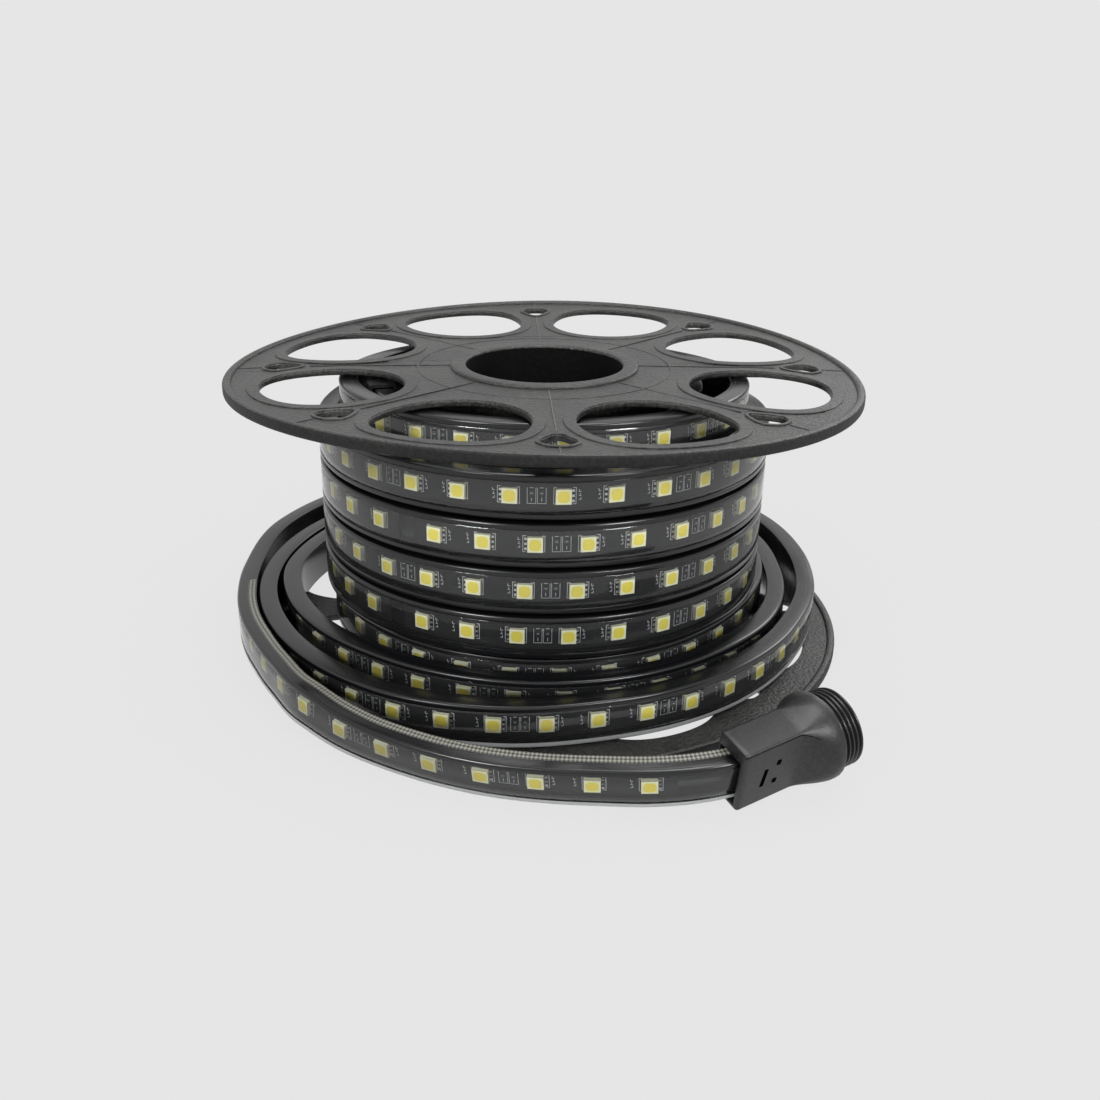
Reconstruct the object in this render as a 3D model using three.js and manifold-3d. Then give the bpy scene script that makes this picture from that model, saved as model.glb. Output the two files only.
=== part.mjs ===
// An LED strip light wound on a plastic reel. The strip starts at the hub, winds down the drum in
// level turns, loosens into three wide loops over the lower flange and ends in a threaded connector.
// Millimetres, +Z up, the camera side is -Y. Angles are degrees, counted from -Y towards +X.
import * as THREE from "three";
import { mergeVertices } from "three/addons/utils/BufferGeometryUtils.js";
import Module from "manifold-3d";

const wasm = await Module();
wasm.setup();

// Reel
const FLANGE_RADIUS = 115.3;
const REEL_HEIGHT = 102.8;
const RIM_HEIGHT = 4.1;
const RIM_WIDTH = 2.9;
const PLATE_RECESS = 1.1; // from the rim's outer edge in to the plate
const PLATE_THICKNESS = 2;
const BORE_RADIUS = 29;
const BORE_WALL = 2.6;
const COLLAR_WIDTH = 5.7;
const DRUM_RADIUS = 46.5;
const DRUM_WALL = 2.2;
const RIB_THICKNESS = 1.8;
const SPIGOT_DEPTH = 6; // how far the halves' drum walls lap at the middle
const WEB_COUNT = 8;
const WEB_OFFSET = 2.6; // the webs stand this much past the reel's front line
const WINDOW_START = 8.8; // the plate's ring between the drum and the windows
const WINDOW_MARGIN = 8.4; // and between the windows and the rim
const WEB_WIDTH = 19.42; // between two windows at their widest
const KEYHOLE_LENGTH = 14.5; // the small three-cornered hole in each web
const KEYHOLE_WIDTH = 12.5;
const KEYHOLE_MARGIN = 10.4; // between it and the rim
const SAG = 2; // the upper flange droops this much left and right, and lifts front and back
const TWIST = 1;

// Strip
const STRIP_HEIGHT = 15;
const STRIP_THICKNESS = 7;
const SHOULDER = 1; // how far the rounded shoulders fall back from the face
const GROOVE_DEPTH = 3.3;
const TAPE_WIDTH = 10;
const TAPE_THICKNESS = 0.4;
const CHIP_SIZE = 5;
const CHIP_HEIGHT = 1.6;
const CHIP_PITCH = 1000 / 60;
const TAPE_JOINT = 6.3; // bare length between two tapes
const CHIPS_PER_TAPE = 60;
const FIRST_TAPE_CHIPS = 31; // the tape at the connector is cut short
const LEAD_LENGTH = 17.6; // bare strip at the connector
const TAIL_LENGTH = 12; // and at the inner end

// Winding
const FIRST_DROP = 12.2; // from the top turn to the first of the level turns below it
const ROW_PITCH = 16.25;
const ROW_RADIUS = 83.3; // of the strip's face
const ROW_FRONT = 90; // a turn is level this far round each way, and steps down at the back
const ROW_BACK = 225; // where each turn's back is tighter or looser than its front
const BACK_RADII = [77.8, 81.2, 84.7, 84]; // of the face there, after each row but the last
const BACK_DROP = 14; // how far a turn has come down by then
const LAST_ROW_STEP = 2.6; // the last level turn lies this much nearer the drum

// Connector
const BODY_LENGTH = 33;
const BODY_WIDTH = 12.4;
const BODY_HEIGHT = 23;
const BODY_STRAIGHT = 19.5; // the square part, before it swells into the barrel
const BODY_CORNER = 1.3;
const BARREL_RADIUS = 14;
const MOUTH_DEPTH = 3.6;
const MOUTH_CLEARANCE = 1;
const MOUTH_OFFSET = 0.6; // the strip enters this much nearer the reel than the body's middle
const MOUTH_DROP = 1.6; // and this much lower
const ENTRY_TURN = 12; // the body is turned this much towards the reel from the strip's end
const SPIGOT_RADIUS = 10.6;
const SPIGOT_LENGTH = 5.5;
const SOCKET_RADIUS = 9;
const SOCKET_FLOOR = 2;
const THREAD_RADIUS = 12.4;
const THREAD_DEPTH = 1.1;
const THREAD_PITCH = 1.6;
const THREAD_TURNS = 5;
const CARRIER_THICKNESS = 5;
const PIN_RADIUS = 1.3;
const PIN_LENGTH = 10;
const PIN_SPACING = 8;

// Inner end cap
const CAP_WALL = 1.2;
const CAP_LENGTH = 9;

const GAP = 0.3; // between pieces that touch
const ROUND_SIDES = 36;
const SMALL_SIDES = 20;

const degrees = THREE.MathUtils.degToRad;

// Solids

function solid(geometry) {
  const bare = geometry.index ? geometry.toNonIndexed() : geometry.clone();
  bare.deleteAttribute("normal");
  bare.deleteAttribute("uv");
  const merged = mergeVertices(bare, 1e-3);
  const made = new wasm.Manifold(
    new wasm.Mesh({
      numProp: 3,
      vertProperties: merged.attributes.position.array,
      triVerts: new Uint32Array(merged.index.array),
    }),
  );
  return made.volume() < 0 ? solid(turnedOut(geometry)) : made;
}

function turnedOut(geometry) {
  const flipped = geometry.index ? geometry.toNonIndexed() : geometry.clone();
  const position = flipped.attributes.position;
  const first = new THREE.Vector3();
  const second = new THREE.Vector3();
  for (let i = 0; i < position.count; i += 3) {
    first.fromBufferAttribute(position, i);
    second.fromBufferAttribute(position, i + 1);
    position.setXYZ(i, second.x, second.y, second.z);
    position.setXYZ(i + 1, first.x, first.y, first.z);
  }
  return flipped;
}

function geometryOf(manifold) {
  const mesh = manifold.getMesh();
  const geometry = new THREE.BufferGeometry();
  geometry.setAttribute("position", new THREE.BufferAttribute(new Float32Array(mesh.vertProperties), 3));
  geometry.setIndex(new THREE.BufferAttribute(new Uint32Array(mesh.triVerts), 1));
  return geometry;
}

// A profile of [radius, height] points turned round Z.
function turned(profile, sides) {
  const points = [...profile, profile[0]].map(([r, h]) => new THREE.Vector2(r, h));
  return new THREE.LatheGeometry(points, sides).rotateX(Math.PI / 2);
}

function prism(outline, holes, depth) {
  const shape = new THREE.Shape(outline);
  shape.holes = holes.map((hole) => new THREE.Path(hole));
  return new THREE.ExtrudeGeometry(shape, { depth, bevelEnabled: false });
}

function circle(radius, sides, x = 0, y = 0) {
  return Array.from({ length: sides }, (_, i) => {
    const turn = (2 * Math.PI * i) / sides;
    return new THREE.Vector2(x + radius * Math.cos(turn), y + radius * Math.sin(turn));
  });
}

function part(name, geometry, colour, roughness, metalness = 0) {
  const material = new THREE.MeshStandardMaterial({ color: colour, roughness, metalness });
  const mesh = new THREE.Mesh(geometry, material);
  mesh.name = name;
  return mesh;
}

// Reel

const rimInner = FLANGE_RADIUS - RIM_WIDTH;
const windowInner = DRUM_RADIUS + WINDOW_START;
const windowOuter = rimInner - WINDOW_MARGIN;
const keyholeOuter = rimInner - KEYHOLE_MARGIN;
const webStep = (2 * Math.PI) / WEB_COUNT;

// One window between two webs: an egg shape with its blunt end at the rim.
function windowOutline(angle) {
  const reach = windowOuter - windowInner;
  const widest = windowInner + 0.6 * reach;
  const half = (widest * Math.sin(webStep / 2) - WEB_WIDTH / 2) / Math.cos(webStep / 2);
  const side = (sign) => [
    new THREE.CubicBezierCurve(
      new THREE.Vector2(windowInner, 0),
      new THREE.Vector2(windowInner, sign * 0.55 * half),
      new THREE.Vector2(windowInner + 0.24 * reach, sign * half),
      new THREE.Vector2(widest, sign * half),
    ),
    new THREE.CubicBezierCurve(
      new THREE.Vector2(widest, sign * half),
      new THREE.Vector2(widest + 0.26 * reach, sign * half),
      new THREE.Vector2(windowOuter, sign * 0.62 * half),
      new THREE.Vector2(windowOuter, 0),
    ),
  ];
  const right = side(1).flatMap((curve) => curve.getPoints(4).slice(0, -1));
  const left = side(-1).flatMap((curve) => curve.getPoints(4).slice(1));
  return [...right, ...left.reverse()].map((point) => point.rotateAround(new THREE.Vector2(), angle));
}

// The hole in a web has its point towards the hub.
function keyholeOutline(angle) {
  const half = KEYHOLE_WIDTH / 2;
  const shares = [
    [1, 0.1],
    [1, -0.1],
    [0.35, -1],
    [0.1, -0.85],
    [0, 0],
    [0.1, 0.85],
    [0.35, 1],
  ];
  return shares.map(([inward, across]) => {
    const point = new THREE.Vector2(keyholeOuter - inward * KEYHOLE_LENGTH, across * half);
    return point.rotateAround(new THREE.Vector2(), angle);
  });
}

const halfHeight = REEL_HEIGHT / 2 - GAP / 2;
const drumInner = DRUM_RADIUS - DRUM_WALL;
const lapRadius = DRUM_RADIUS - DRUM_WALL / 2;

// Half of the reel, its outer face down at z = 0: rim, plate, collar, bore wall, drum wall and ribs.
// The drum wall's upper edge is given, because one half fits into the other there.
function reelHalf(drumEdge) {
  const round = 0.25 * RIM_HEIGHT;
  const rim = turned(
    [
      [rimInner, 0],
      [FLANGE_RADIUS - round, 0],
      [FLANGE_RADIUS, round],
      [FLANGE_RADIUS, RIM_HEIGHT - round],
      [FLANGE_RADIUS - round, RIM_HEIGHT],
      [rimInner, RIM_HEIGHT],
    ],
    ROUND_SIDES,
  );
  const webs = Array.from({ length: WEB_COUNT }, (_, i) => degrees(WEB_OFFSET - 90) + i * webStep);
  const holes = webs.flatMap((angle) => [keyholeOutline(angle), windowOutline(angle + webStep / 2)]);
  holes.push(circle(BORE_RADIUS + BORE_WALL / 2, ROUND_SIDES));
  const plate = prism(circle(rimInner + RIM_WIDTH / 4, ROUND_SIDES), holes, PLATE_THICKNESS);
  plate.translate(0, 0, PLATE_RECESS);
  const plateMiddle = PLATE_RECESS + PLATE_THICKNESS / 2;
  const collarRadius = BORE_RADIUS + COLLAR_WIDTH;
  const boreWall = turned(
    [
      [BORE_RADIUS, 0.4],
      [BORE_RADIUS + 0.8, 0],
      [collarRadius - 1.6, 0],
      [collarRadius, plateMiddle],
      [BORE_RADIUS + BORE_WALL, plateMiddle],
      [BORE_RADIUS + BORE_WALL, halfHeight],
      [BORE_RADIUS, halfHeight],
    ],
    ROUND_SIDES,
  );
  const drumFoot = [
    [drumInner, plateMiddle],
    [DRUM_RADIUS, plateMiddle],
  ];
  const drumWall = turned([...drumFoot, ...drumEdge], ROUND_SIDES);
  const ribInner = BORE_RADIUS + BORE_WALL / 2;
  const ribOuter = DRUM_RADIUS - DRUM_WALL / 2;
  const ribTop = halfHeight - 2 * SPIGOT_DEPTH;
  const ribs = webs.map((angle) =>
    new THREE.BoxGeometry(ribOuter - ribInner, RIB_THICKNESS, ribTop - plateMiddle)
      .translate((ribOuter + ribInner) / 2, 0, (ribTop + plateMiddle) / 2)
      .rotateZ(angle),
  );
  return [plate, boreWall, drumWall, ...ribs].reduce((whole, piece) => whole.add(solid(piece)), solid(rim));
}

// The upper flange is no longer flat: it droops to the left and right of the drum.
function sagged(geometry) {
  const position = geometry.attributes.position;
  const point = new THREE.Vector3();
  for (let i = 0; i < position.count; i++) {
    point.fromBufferAttribute(position, i);
    const reach = Math.max(0, Math.hypot(point.x, point.y) - DRUM_RADIUS) / (FLANGE_RADIUS - DRUM_RADIUS);
    const turn = 2 * Math.atan2(point.y, point.x);
    const lift = reach ** 2 * (TWIST * Math.sin(turn) - SAG * Math.cos(turn));
    position.setZ(i, point.z + lift);
  }
  return geometry;
}

const lowerReel = reelHalf([
  [DRUM_RADIUS, halfHeight],
  [lapRadius - GAP / 2, halfHeight],
  [lapRadius - GAP / 2, halfHeight + SPIGOT_DEPTH],
  [drumInner, halfHeight + SPIGOT_DEPTH],
]);
const upperReel = reelHalf([
  [DRUM_RADIUS, halfHeight],
  [lapRadius + GAP / 2, halfHeight],
  [lapRadius + GAP / 2, halfHeight - SPIGOT_DEPTH],
  [drumInner, halfHeight - SPIGOT_DEPTH - DRUM_WALL / 2],
]);
const mirrored = geometryOf(upperReel).rotateX(Math.PI).rotateZ(degrees(2 * WEB_OFFSET));
mirrored.translate(0, 0, REEL_HEIGHT);

// Winding

// Turn angle, radius of the strip's face, height of its middle and outward lean of its top. The
// angle is 0 at the front of the top turn and grows outwards along the strip, a full turn a row.
const plateLevel = PLATE_RECESS + PLATE_THICKNESS + GAP + STRIP_HEIGHT / 2;
const rimLevel = RIM_HEIGHT + GAP + STRIP_HEIGHT / 2 + 0.2;
const groundLevel = STRIP_HEIGHT / 2;
const underFlange = REEL_HEIGHT - PLATE_RECESS - PLATE_THICKNESS - STRIP_HEIGHT / 2;
const firstRowLevel = underFlange - FIRST_DROP;
const rowCount = 1 + Math.floor((firstRowLevel - plateLevel) / ROW_PITCH);

const innerTurn = [
  [-440, 64, underFlange - 3, 0],
  [-405, 61.5, underFlange - 3, 0],
  [-360, 58, underFlange - 3, 0],
  [-315, 57.5, underFlange - 3, 0],
  [-270, 59, underFlange - 3, 0],
  [-225, 62, underFlange - 2.6, 0],
  [-180, 66.5, underFlange - 2, 0],
  [-135, 72, underFlange - 1.5, 0],
];
const topTurn = [
  [-90, 75.5, underFlange - 1.1, 0],
  [-45, 71.5, underFlange - 0.6, 0],
  [0, 67.5, underFlange - 0.5, 0],
  [45, 71.5, underFlange - 0.6, 0],
  [90, 75.5, underFlange - 1.1, 0],
  [135, 71.6, underFlange - 2.4, 0],
  [180, 74.4, underFlange - 4.4, 0],
  [225, 80.4, underFlange - 8.6, 0],
];
const looseTurns = [
  [66, 82.5, 15.3, 0],
  [87, 87, 15, 0],
  [106, 92, 14.4, 0],
  [130, 98, 13.2, 0],
  [180, 99.5, plateLevel, 0],
  [210, 101, plateLevel, 0],
  [240, 103, plateLevel, 0],
  [265, 102.8, plateLevel, 0],
  [284, 99.2, plateLevel, 0],
  [302, 95, plateLevel, 0],
  [323, 90.6, plateLevel, 0],
  [347, 89, plateLevel, 0],
  [370, 88.8, plateLevel, 0],
  [400, 89.6, plateLevel, 0],
  [427, 93.5, plateLevel, 0],
  [455, 97.3, plateLevel, 0],
  [475, 103.6, plateLevel, 0],
  [492, 108, plateLevel, 0],
  [510, 109.6, plateLevel, 0],
  [540, 111.2, plateLevel, 0],
  [595, 111.8, plateLevel, 0],
  [630, 110.2, plateLevel, 0],
  [660, 108.7, plateLevel, 0],
  [690, 108.5, plateLevel, 0],
  [712, 105.8, plateLevel, 0],
  [736, 102, plateLevel, 0],
  [761, 101.8, plateLevel, 0],
  [784, 102.8, plateLevel, 0],
  [806, 107.5, plateLevel, 0],
  [822, 111.6, rimLevel, 0],
  [845, 120, rimLevel, 0],
  [865, 124.5, rimLevel, 0],
  [900, 127.4, rimLevel, 0],
  [940, 127.4, rimLevel + 1.2, 0],
  [968, 124, rimLevel + 1, 0],
  [989, 118.4, rimLevel, 0],
  [1003, 117.2, rimLevel, 0],
  [1019, 117.4, rimLevel, 0],
  [1030, 119.2, rimLevel, 0],
  [1041, 123.2, rimLevel, 0],
  [1049, 124.2, 9.8, 5],
  [1057, 125.4, 8.3, 12],
  [1072, 129.2, groundLevel, 15],
  [1087, 134.4, groundLevel + 0.8, 14],
  [1095, 139.5, groundLevel + 1.9, 13],
  [1101, 142.7, groundLevel + 2.9, 13],
  [1104.2, 143.6, groundLevel + 3.3, 13],
].map(([angle, ...rest]) => [360 * rowCount + angle, ...rest]);

function levelTurns() {
  const turns = [];
  for (let row = 1; row <= rowCount; row++) {
    const height = firstRowLevel - (row - 1) * ROW_PITCH;
    const last = row === rowCount;
    const radius = last ? ROW_RADIUS - LAST_ROW_STEP : ROW_RADIUS;
    for (const angle of [-ROW_FRONT, -ROW_FRONT / 2, 0, ROW_FRONT / 2, ROW_FRONT]) {
      if (!last || angle <= ROW_FRONT / 2) turns.push([360 * row + angle, radius, height, 0]);
    }
    const backRadius = BACK_RADII[Math.min(row, BACK_RADII.length) - 1];
    if (!last) turns.push([360 * row + ROW_BACK, backRadius, height - BACK_DROP, 0]);
  }
  return turns;
}

const stations = [...innerTurn, ...topTurn, ...levelTurns(), ...looseTurns];

// Smooth curve through the stations that never overshoots them.
function interpolated(angle, column) {
  const last = stations.length - 1;
  let i = 0;
  while (i < last - 1 && stations[i + 1][0] <= angle) i++;
  const slope = (k) => (stations[k + 1][column] - stations[k][column]) / (stations[k + 1][0] - stations[k][0]);
  const tangent = (k) => {
    if (k === 0) return slope(0);
    if (k === last) return slope(last - 1);
    const before = slope(k - 1);
    const after = slope(k);
    return before * after <= 0 ? 0 : (2 * before * after) / (before + after);
  };
  const span = stations[i + 1][0] - stations[i][0];
  const t = (angle - stations[i][0]) / span;
  return (
    (2 * t ** 3 - 3 * t ** 2 + 1) * stations[i][column] +
    (t ** 3 - 2 * t ** 2 + t) * span * tangent(i) +
    (3 * t ** 2 - 2 * t ** 3) * stations[i + 1][column] +
    (t ** 3 - t ** 2) * span * tangent(i + 1)
  );
}

function facePoint(angle) {
  const turn = degrees(angle);
  const radius = interpolated(angle, 1);
  return new THREE.Vector3(radius * Math.sin(turn), -radius * Math.cos(turn), interpolated(angle, 2));
}

// The strip's own axes at an angle: out of its face, up its height and along it.
function axesAt(angle) {
  const along = facePoint(angle + 0.5).sub(facePoint(angle - 0.5)).normalize();
  const level = new THREE.Vector3(along.y, -along.x, 0).normalize();
  const up = new THREE.Vector3().crossVectors(level, along).normalize();
  const lean = degrees(interpolated(angle, 3));
  return {
    point: facePoint(angle),
    out: level.clone().multiplyScalar(Math.cos(lean)).addScaledVector(up, -Math.sin(lean)),
    up: up.clone().multiplyScalar(Math.cos(lean)).addScaledVector(level, Math.sin(lean)),
    along,
  };
}

function placed(axes, out, up) {
  return axes.point.clone().addScaledVector(axes.out, out).addScaledVector(axes.up, up);
}

// Length along the tape, counted from the connector, against turn angle.
const tapeDepth = GROOVE_DEPTH - GAP - TAPE_THICKNESS / 2;
const firstAngle = stations[0][0];
const lastAngle = stations[stations.length - 1][0];
const lengths = [];
let runLength = 0;
let previous = placed(axesAt(lastAngle), -tapeDepth, 0);
for (let angle = lastAngle; angle >= firstAngle; angle--) {
  const next = placed(axesAt(angle), -tapeDepth, 0);
  runLength += next.distanceTo(previous);
  lengths.push([runLength, angle]);
  previous = next;
}

function angleAt(length) {
  const i = Math.max(1, lengths.findIndex(([reached]) => reached >= length));
  const [lengthBefore, angleBefore] = lengths[i - 1];
  const [lengthAfter, angleAfter] = lengths[i];
  return THREE.MathUtils.mapLinear(length, lengthBefore, lengthAfter, angleBefore, angleAfter);
}

// Strip

// Cells of one chip each, tape by tape, from the connector to the inner end.
const tapes = [];
const cuts = [0, LEAD_LENGTH / 3, (2 * LEAD_LENGTH) / 3];
const usable = runLength - TAIL_LENGTH;
let reached = LEAD_LENGTH;
let chips = FIRST_TAPE_CHIPS;
while (reached + CHIP_PITCH < usable) {
  const count = Math.min(chips, Math.floor((usable - reached) / CHIP_PITCH));
  const tape = Array.from({ length: count + 1 }, (_, i) => reached + i * CHIP_PITCH);
  tapes.push(tape);
  cuts.push(...tape);
  reached = tape[count] + TAPE_JOINT;
  chips = CHIPS_PER_TAPE;
}
cuts.push(runLength - CAP_LENGTH, runLength);

// The sleeve's section as [out, up] points: a flat back, rounded shoulders and the tape's groove.
const halfStrip = STRIP_HEIGHT / 2;
const halfGroove = TAPE_WIDTH / 2 + GAP;
const sleeveSection = [
  [-STRIP_THICKNESS, halfStrip],
  [-STRIP_THICKNESS, -halfStrip],
  [-SHOULDER, -halfStrip],
  [0, -halfGroove],
  [-GROOVE_DEPTH, -halfGroove],
  [-GROOVE_DEPTH, halfGroove],
  [0, halfGroove],
  [-SHOULDER, halfStrip],
];

function swept(section, rings) {
  const positions = [];
  const quad = (a, b, c, d) => positions.push(a, b, c, a, c, d);
  for (let i = 0; i + 1 < rings.length; i++) {
    for (let k = 0; k < section.length; k++) {
      const next = (k + 1) % section.length;
      quad(rings[i][k], rings[i][next], rings[i + 1][next], rings[i + 1][k]);
    }
  }
  const faces = THREE.ShapeUtils.triangulateShape(
    section.map(([x, y]) => new THREE.Vector2(x, y)),
    [],
  );
  const end = rings[rings.length - 1];
  for (const [a, b, c] of faces) {
    positions.push(rings[0][c], rings[0][b], rings[0][a], end[a], end[b], end[c]);
  }
  return new THREE.BufferGeometry().setFromPoints(positions);
}

function sleeve() {
  const rings = cuts.map((length) => {
    const axes = axesAt(angleAt(length));
    return sleeveSection.map(([out, up]) => placed(axes, out, up));
  });
  return swept(sleeveSection, rings);
}

// A tape with its chips: a thin ribbon whose front face carries one square block a cell.
function tapeWithChips(tape) {
  const back = -(GROOVE_DEPTH - GAP);
  const front = back + TAPE_THICKNESS;
  const half = TAPE_WIDTH / 2;
  const positions = [];
  const quad = (a, b, c, d) => positions.push(a, b, c, a, c, d);
  const rings = tape.map((length) => {
    const axes = axesAt(angleAt(length));
    return {
      out: axes.out,
      corners: [
        [front, -half],
        [front, half],
        [back, half],
        [back, -half],
      ].map(([out, up]) => placed(axes, out, up)),
    };
  });
  const between = (ring, next, along, up) =>
    ring.corners[0]
      .clone()
      .lerp(ring.corners[1], up)
      .lerp(next.corners[0].clone().lerp(next.corners[1], up), along);
  const alongMargin = CHIP_SIZE / CHIP_PITCH / 2;
  const upMargin = CHIP_SIZE / TAPE_WIDTH / 2;
  for (let i = 0; i + 1 < rings.length; i++) {
    const ring = rings[i];
    const next = rings[i + 1];
    for (let k = 1; k < 4; k++) {
      const other = (k + 1) % 4;
      quad(next.corners[k], ring.corners[k], ring.corners[other], next.corners[other]);
    }
    const outer = [ring.corners[0], ring.corners[1], next.corners[1], next.corners[0]];
    const foot = [
      between(ring, next, 0.5 - alongMargin, 0.5 - upMargin),
      between(ring, next, 0.5 - alongMargin, 0.5 + upMargin),
      between(ring, next, 0.5 + alongMargin, 0.5 + upMargin),
      between(ring, next, 0.5 + alongMargin, 0.5 - upMargin),
    ];
    const out = ring.out.clone().add(next.out).normalize();
    const top = foot.map((corner) => corner.clone().addScaledVector(out, CHIP_HEIGHT));
    for (let k = 0; k < 4; k++) {
      const other = (k + 1) % 4;
      quad(outer[k], outer[other], foot[other], foot[k]);
      quad(foot[k], foot[other], top[other], top[k]);
    }
    quad(...top);
  }
  const [a, b, c, d] = rings[0].corners;
  quad(d, c, b, a);
  quad(...rings[rings.length - 1].corners);
  return new THREE.BufferGeometry().setFromPoints(positions);
}

// Connector, along X from the mouth that takes the strip, its barrel's axis at y = z = 0

// A rounded oblong across X, the same number of points whatever its corners.
function oblong(x, width, height, corner) {
  const points = [];
  for (let quarter = 0; quarter < 4; quarter++) {
    const right = quarter === 0 || quarter === 3 ? 1 : -1;
    const top = quarter < 2 ? 1 : -1;
    for (let i = 0; i < SMALL_SIDES / 4; i++) {
      const turn = (Math.PI / 2) * (quarter + i / (SMALL_SIDES / 4 - 1));
      points.push(
        new THREE.Vector3(
          x,
          right * (width / 2 - corner) + corner * Math.cos(turn),
          top * (height / 2 - corner) + corner * Math.sin(turn),
        ),
      );
    }
  }
  return points;
}

function connectorBody() {
  const rings = [oblong(0, BODY_WIDTH, BODY_HEIGHT, BODY_CORNER)];
  const steps = 6;
  for (let i = 0; i <= steps; i++) {
    const t = i / steps;
    const swell = t * t * (3 - 2 * t);
    const blend = (from, to) => THREE.MathUtils.lerp(from, to, swell);
    rings.push(
      oblong(
        THREE.MathUtils.lerp(BODY_STRAIGHT, BODY_LENGTH - 2, t),
        blend(BODY_WIDTH, 2 * BARREL_RADIUS),
        blend(BODY_HEIGHT, 2 * BARREL_RADIUS),
        blend(BODY_CORNER, BARREL_RADIUS - 0.05),
      ),
    );
  }
  rings.push(oblong(BODY_LENGTH, 2 * BARREL_RADIUS, 2 * BARREL_RADIUS, BARREL_RADIUS - 0.05));
  const outline = rings[0].map((point) => [point.y, point.z]);
  const mouthHeight = STRIP_HEIGHT + 2 * MOUTH_CLEARANCE;
  const mouth = new THREE.BoxGeometry(2 * MOUTH_DEPTH, STRIP_THICKNESS + 2 * MOUTH_CLEARANCE, mouthHeight);
  mouth.translate(0, MOUTH_OFFSET, -MOUTH_DROP);
  const socketDepth = SPIGOT_LENGTH + GAP;
  const socket = new THREE.CylinderGeometry(SPIGOT_RADIUS + GAP, SPIGOT_RADIUS + GAP, 2 * socketDepth, SMALL_SIDES);
  socket.rotateZ(Math.PI / 2).translate(BODY_LENGTH, 0, 0);
  return geometryOf(solid(swept(outline, rings)).subtract(solid(mouth)).subtract(solid(socket)));
}

// A profile of [along X, radius] points turned round the barrel's axis.
function turnedOnBarrel(profile, sides) {
  const upright = profile.map(([x, r]) => [r, x]);
  return turned(upright, sides).rotateY(Math.PI / 2);
}

function threadedSleeve() {
  const start = BODY_LENGTH - SPIGOT_LENGTH;
  const face = BODY_LENGTH + GAP;
  const root = THREAD_RADIUS - THREAD_DEPTH;
  const thread = [];
  for (let i = 0; i < THREAD_TURNS; i++) {
    const crest = face + (i + 0.5) * THREAD_PITCH;
    thread.push([crest - 0.2 * THREAD_PITCH, THREAD_RADIUS], [crest + 0.2 * THREAD_PITCH, THREAD_RADIUS]);
    thread.push([crest + 0.5 * THREAD_PITCH, root]);
  }
  const end = face + THREAD_TURNS * THREAD_PITCH;
  return turnedOnBarrel(
    [
      [start, 0],
      [start, SPIGOT_RADIUS],
      [face, SPIGOT_RADIUS],
      [face, root],
      ...thread,
      [end + 0.5, root - 0.5],
      [end + 0.5, SOCKET_RADIUS],
      [start + SOCKET_FLOOR, SOCKET_RADIUS],
      [start + SOCKET_FLOOR, 0],
    ],
    SMALL_SIDES,
  );
}

const carrierStart = BODY_LENGTH - SPIGOT_LENGTH + SOCKET_FLOOR + GAP;

function contactCarrier() {
  const holes = [-1, 1].map((side) => circle(PIN_RADIUS + GAP, 8, 0, (side * PIN_SPACING) / 2));
  return prism(circle(SOCKET_RADIUS - GAP, SMALL_SIDES), holes, CARRIER_THICKNESS)
    .rotateY(Math.PI / 2)
    .translate(carrierStart, 0, 0);
}

function contactPin(side) {
  const point = 0.8;
  return turnedOnBarrel(
    [
      [0, 0],
      [0, PIN_RADIUS],
      [PIN_LENGTH - point, PIN_RADIUS],
      [PIN_LENGTH, 0],
    ],
    8,
  ).translate(carrierStart, (side * PIN_SPACING) / 2, 0);
}

// Inner end cap, along X from its open side

function endCap() {
  const width = STRIP_THICKNESS + 2 * (CAP_WALL + GAP);
  const height = STRIP_HEIGHT + 2 * (CAP_WALL + GAP);
  const ring = (x, trim) => oblong(x, width - trim, height - trim, BODY_CORNER);
  const rings = [ring(0, 0), ring(CAP_LENGTH - 1, 0), ring(CAP_LENGTH, 2)];
  const outline = rings[0].map((point) => [point.y, point.z]);
  const pocket = new THREE.BoxGeometry(
    2 * (CAP_LENGTH - CAP_WALL),
    STRIP_THICKNESS + 2 * GAP,
    STRIP_HEIGHT + 2 * GAP,
  );
  return geometryOf(solid(swept(outline, rings)).subtract(solid(pocket)));
}

// Assembly

const reelBlack = 0x2b2b2a;
const pvcBlack = 0x1d1e20;
const boardBlack = 0x191919;
const rubberBlack = 0x232323;
const nylonBlack = 0x151515;
const contactMetal = 0xc9b27a;

const reel = new THREE.Group();
reel.add(part("reel_lower_half", geometryOf(lowerReel), reelBlack, 0.75));
reel.add(part("reel_upper_half", sagged(mirrored), reelBlack, 0.75));

const strip = new THREE.Group();
strip.add(part("strip_sleeve", geometryOf(solid(sleeve())), pvcBlack, 0.25));
tapes.forEach((tape, i) => {
  strip.add(part("led_tape_" + (i + 1), geometryOf(solid(tapeWithChips(tape))), boardBlack, 0.5));
});

const connector = new THREE.Group();
connector.add(part("connector_body", connectorBody(), rubberBlack, 0.6));
connector.add(part("threaded_sleeve", threadedSleeve(), nylonBlack, 0.35));
connector.add(part("contact_carrier", contactCarrier(), nylonBlack, 0.5));
connector.add(part("contact_pin_left", contactPin(1), contactMetal, 0.3, 1));
connector.add(part("contact_pin_right", contactPin(-1), contactMetal, 0.3, 1));

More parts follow.
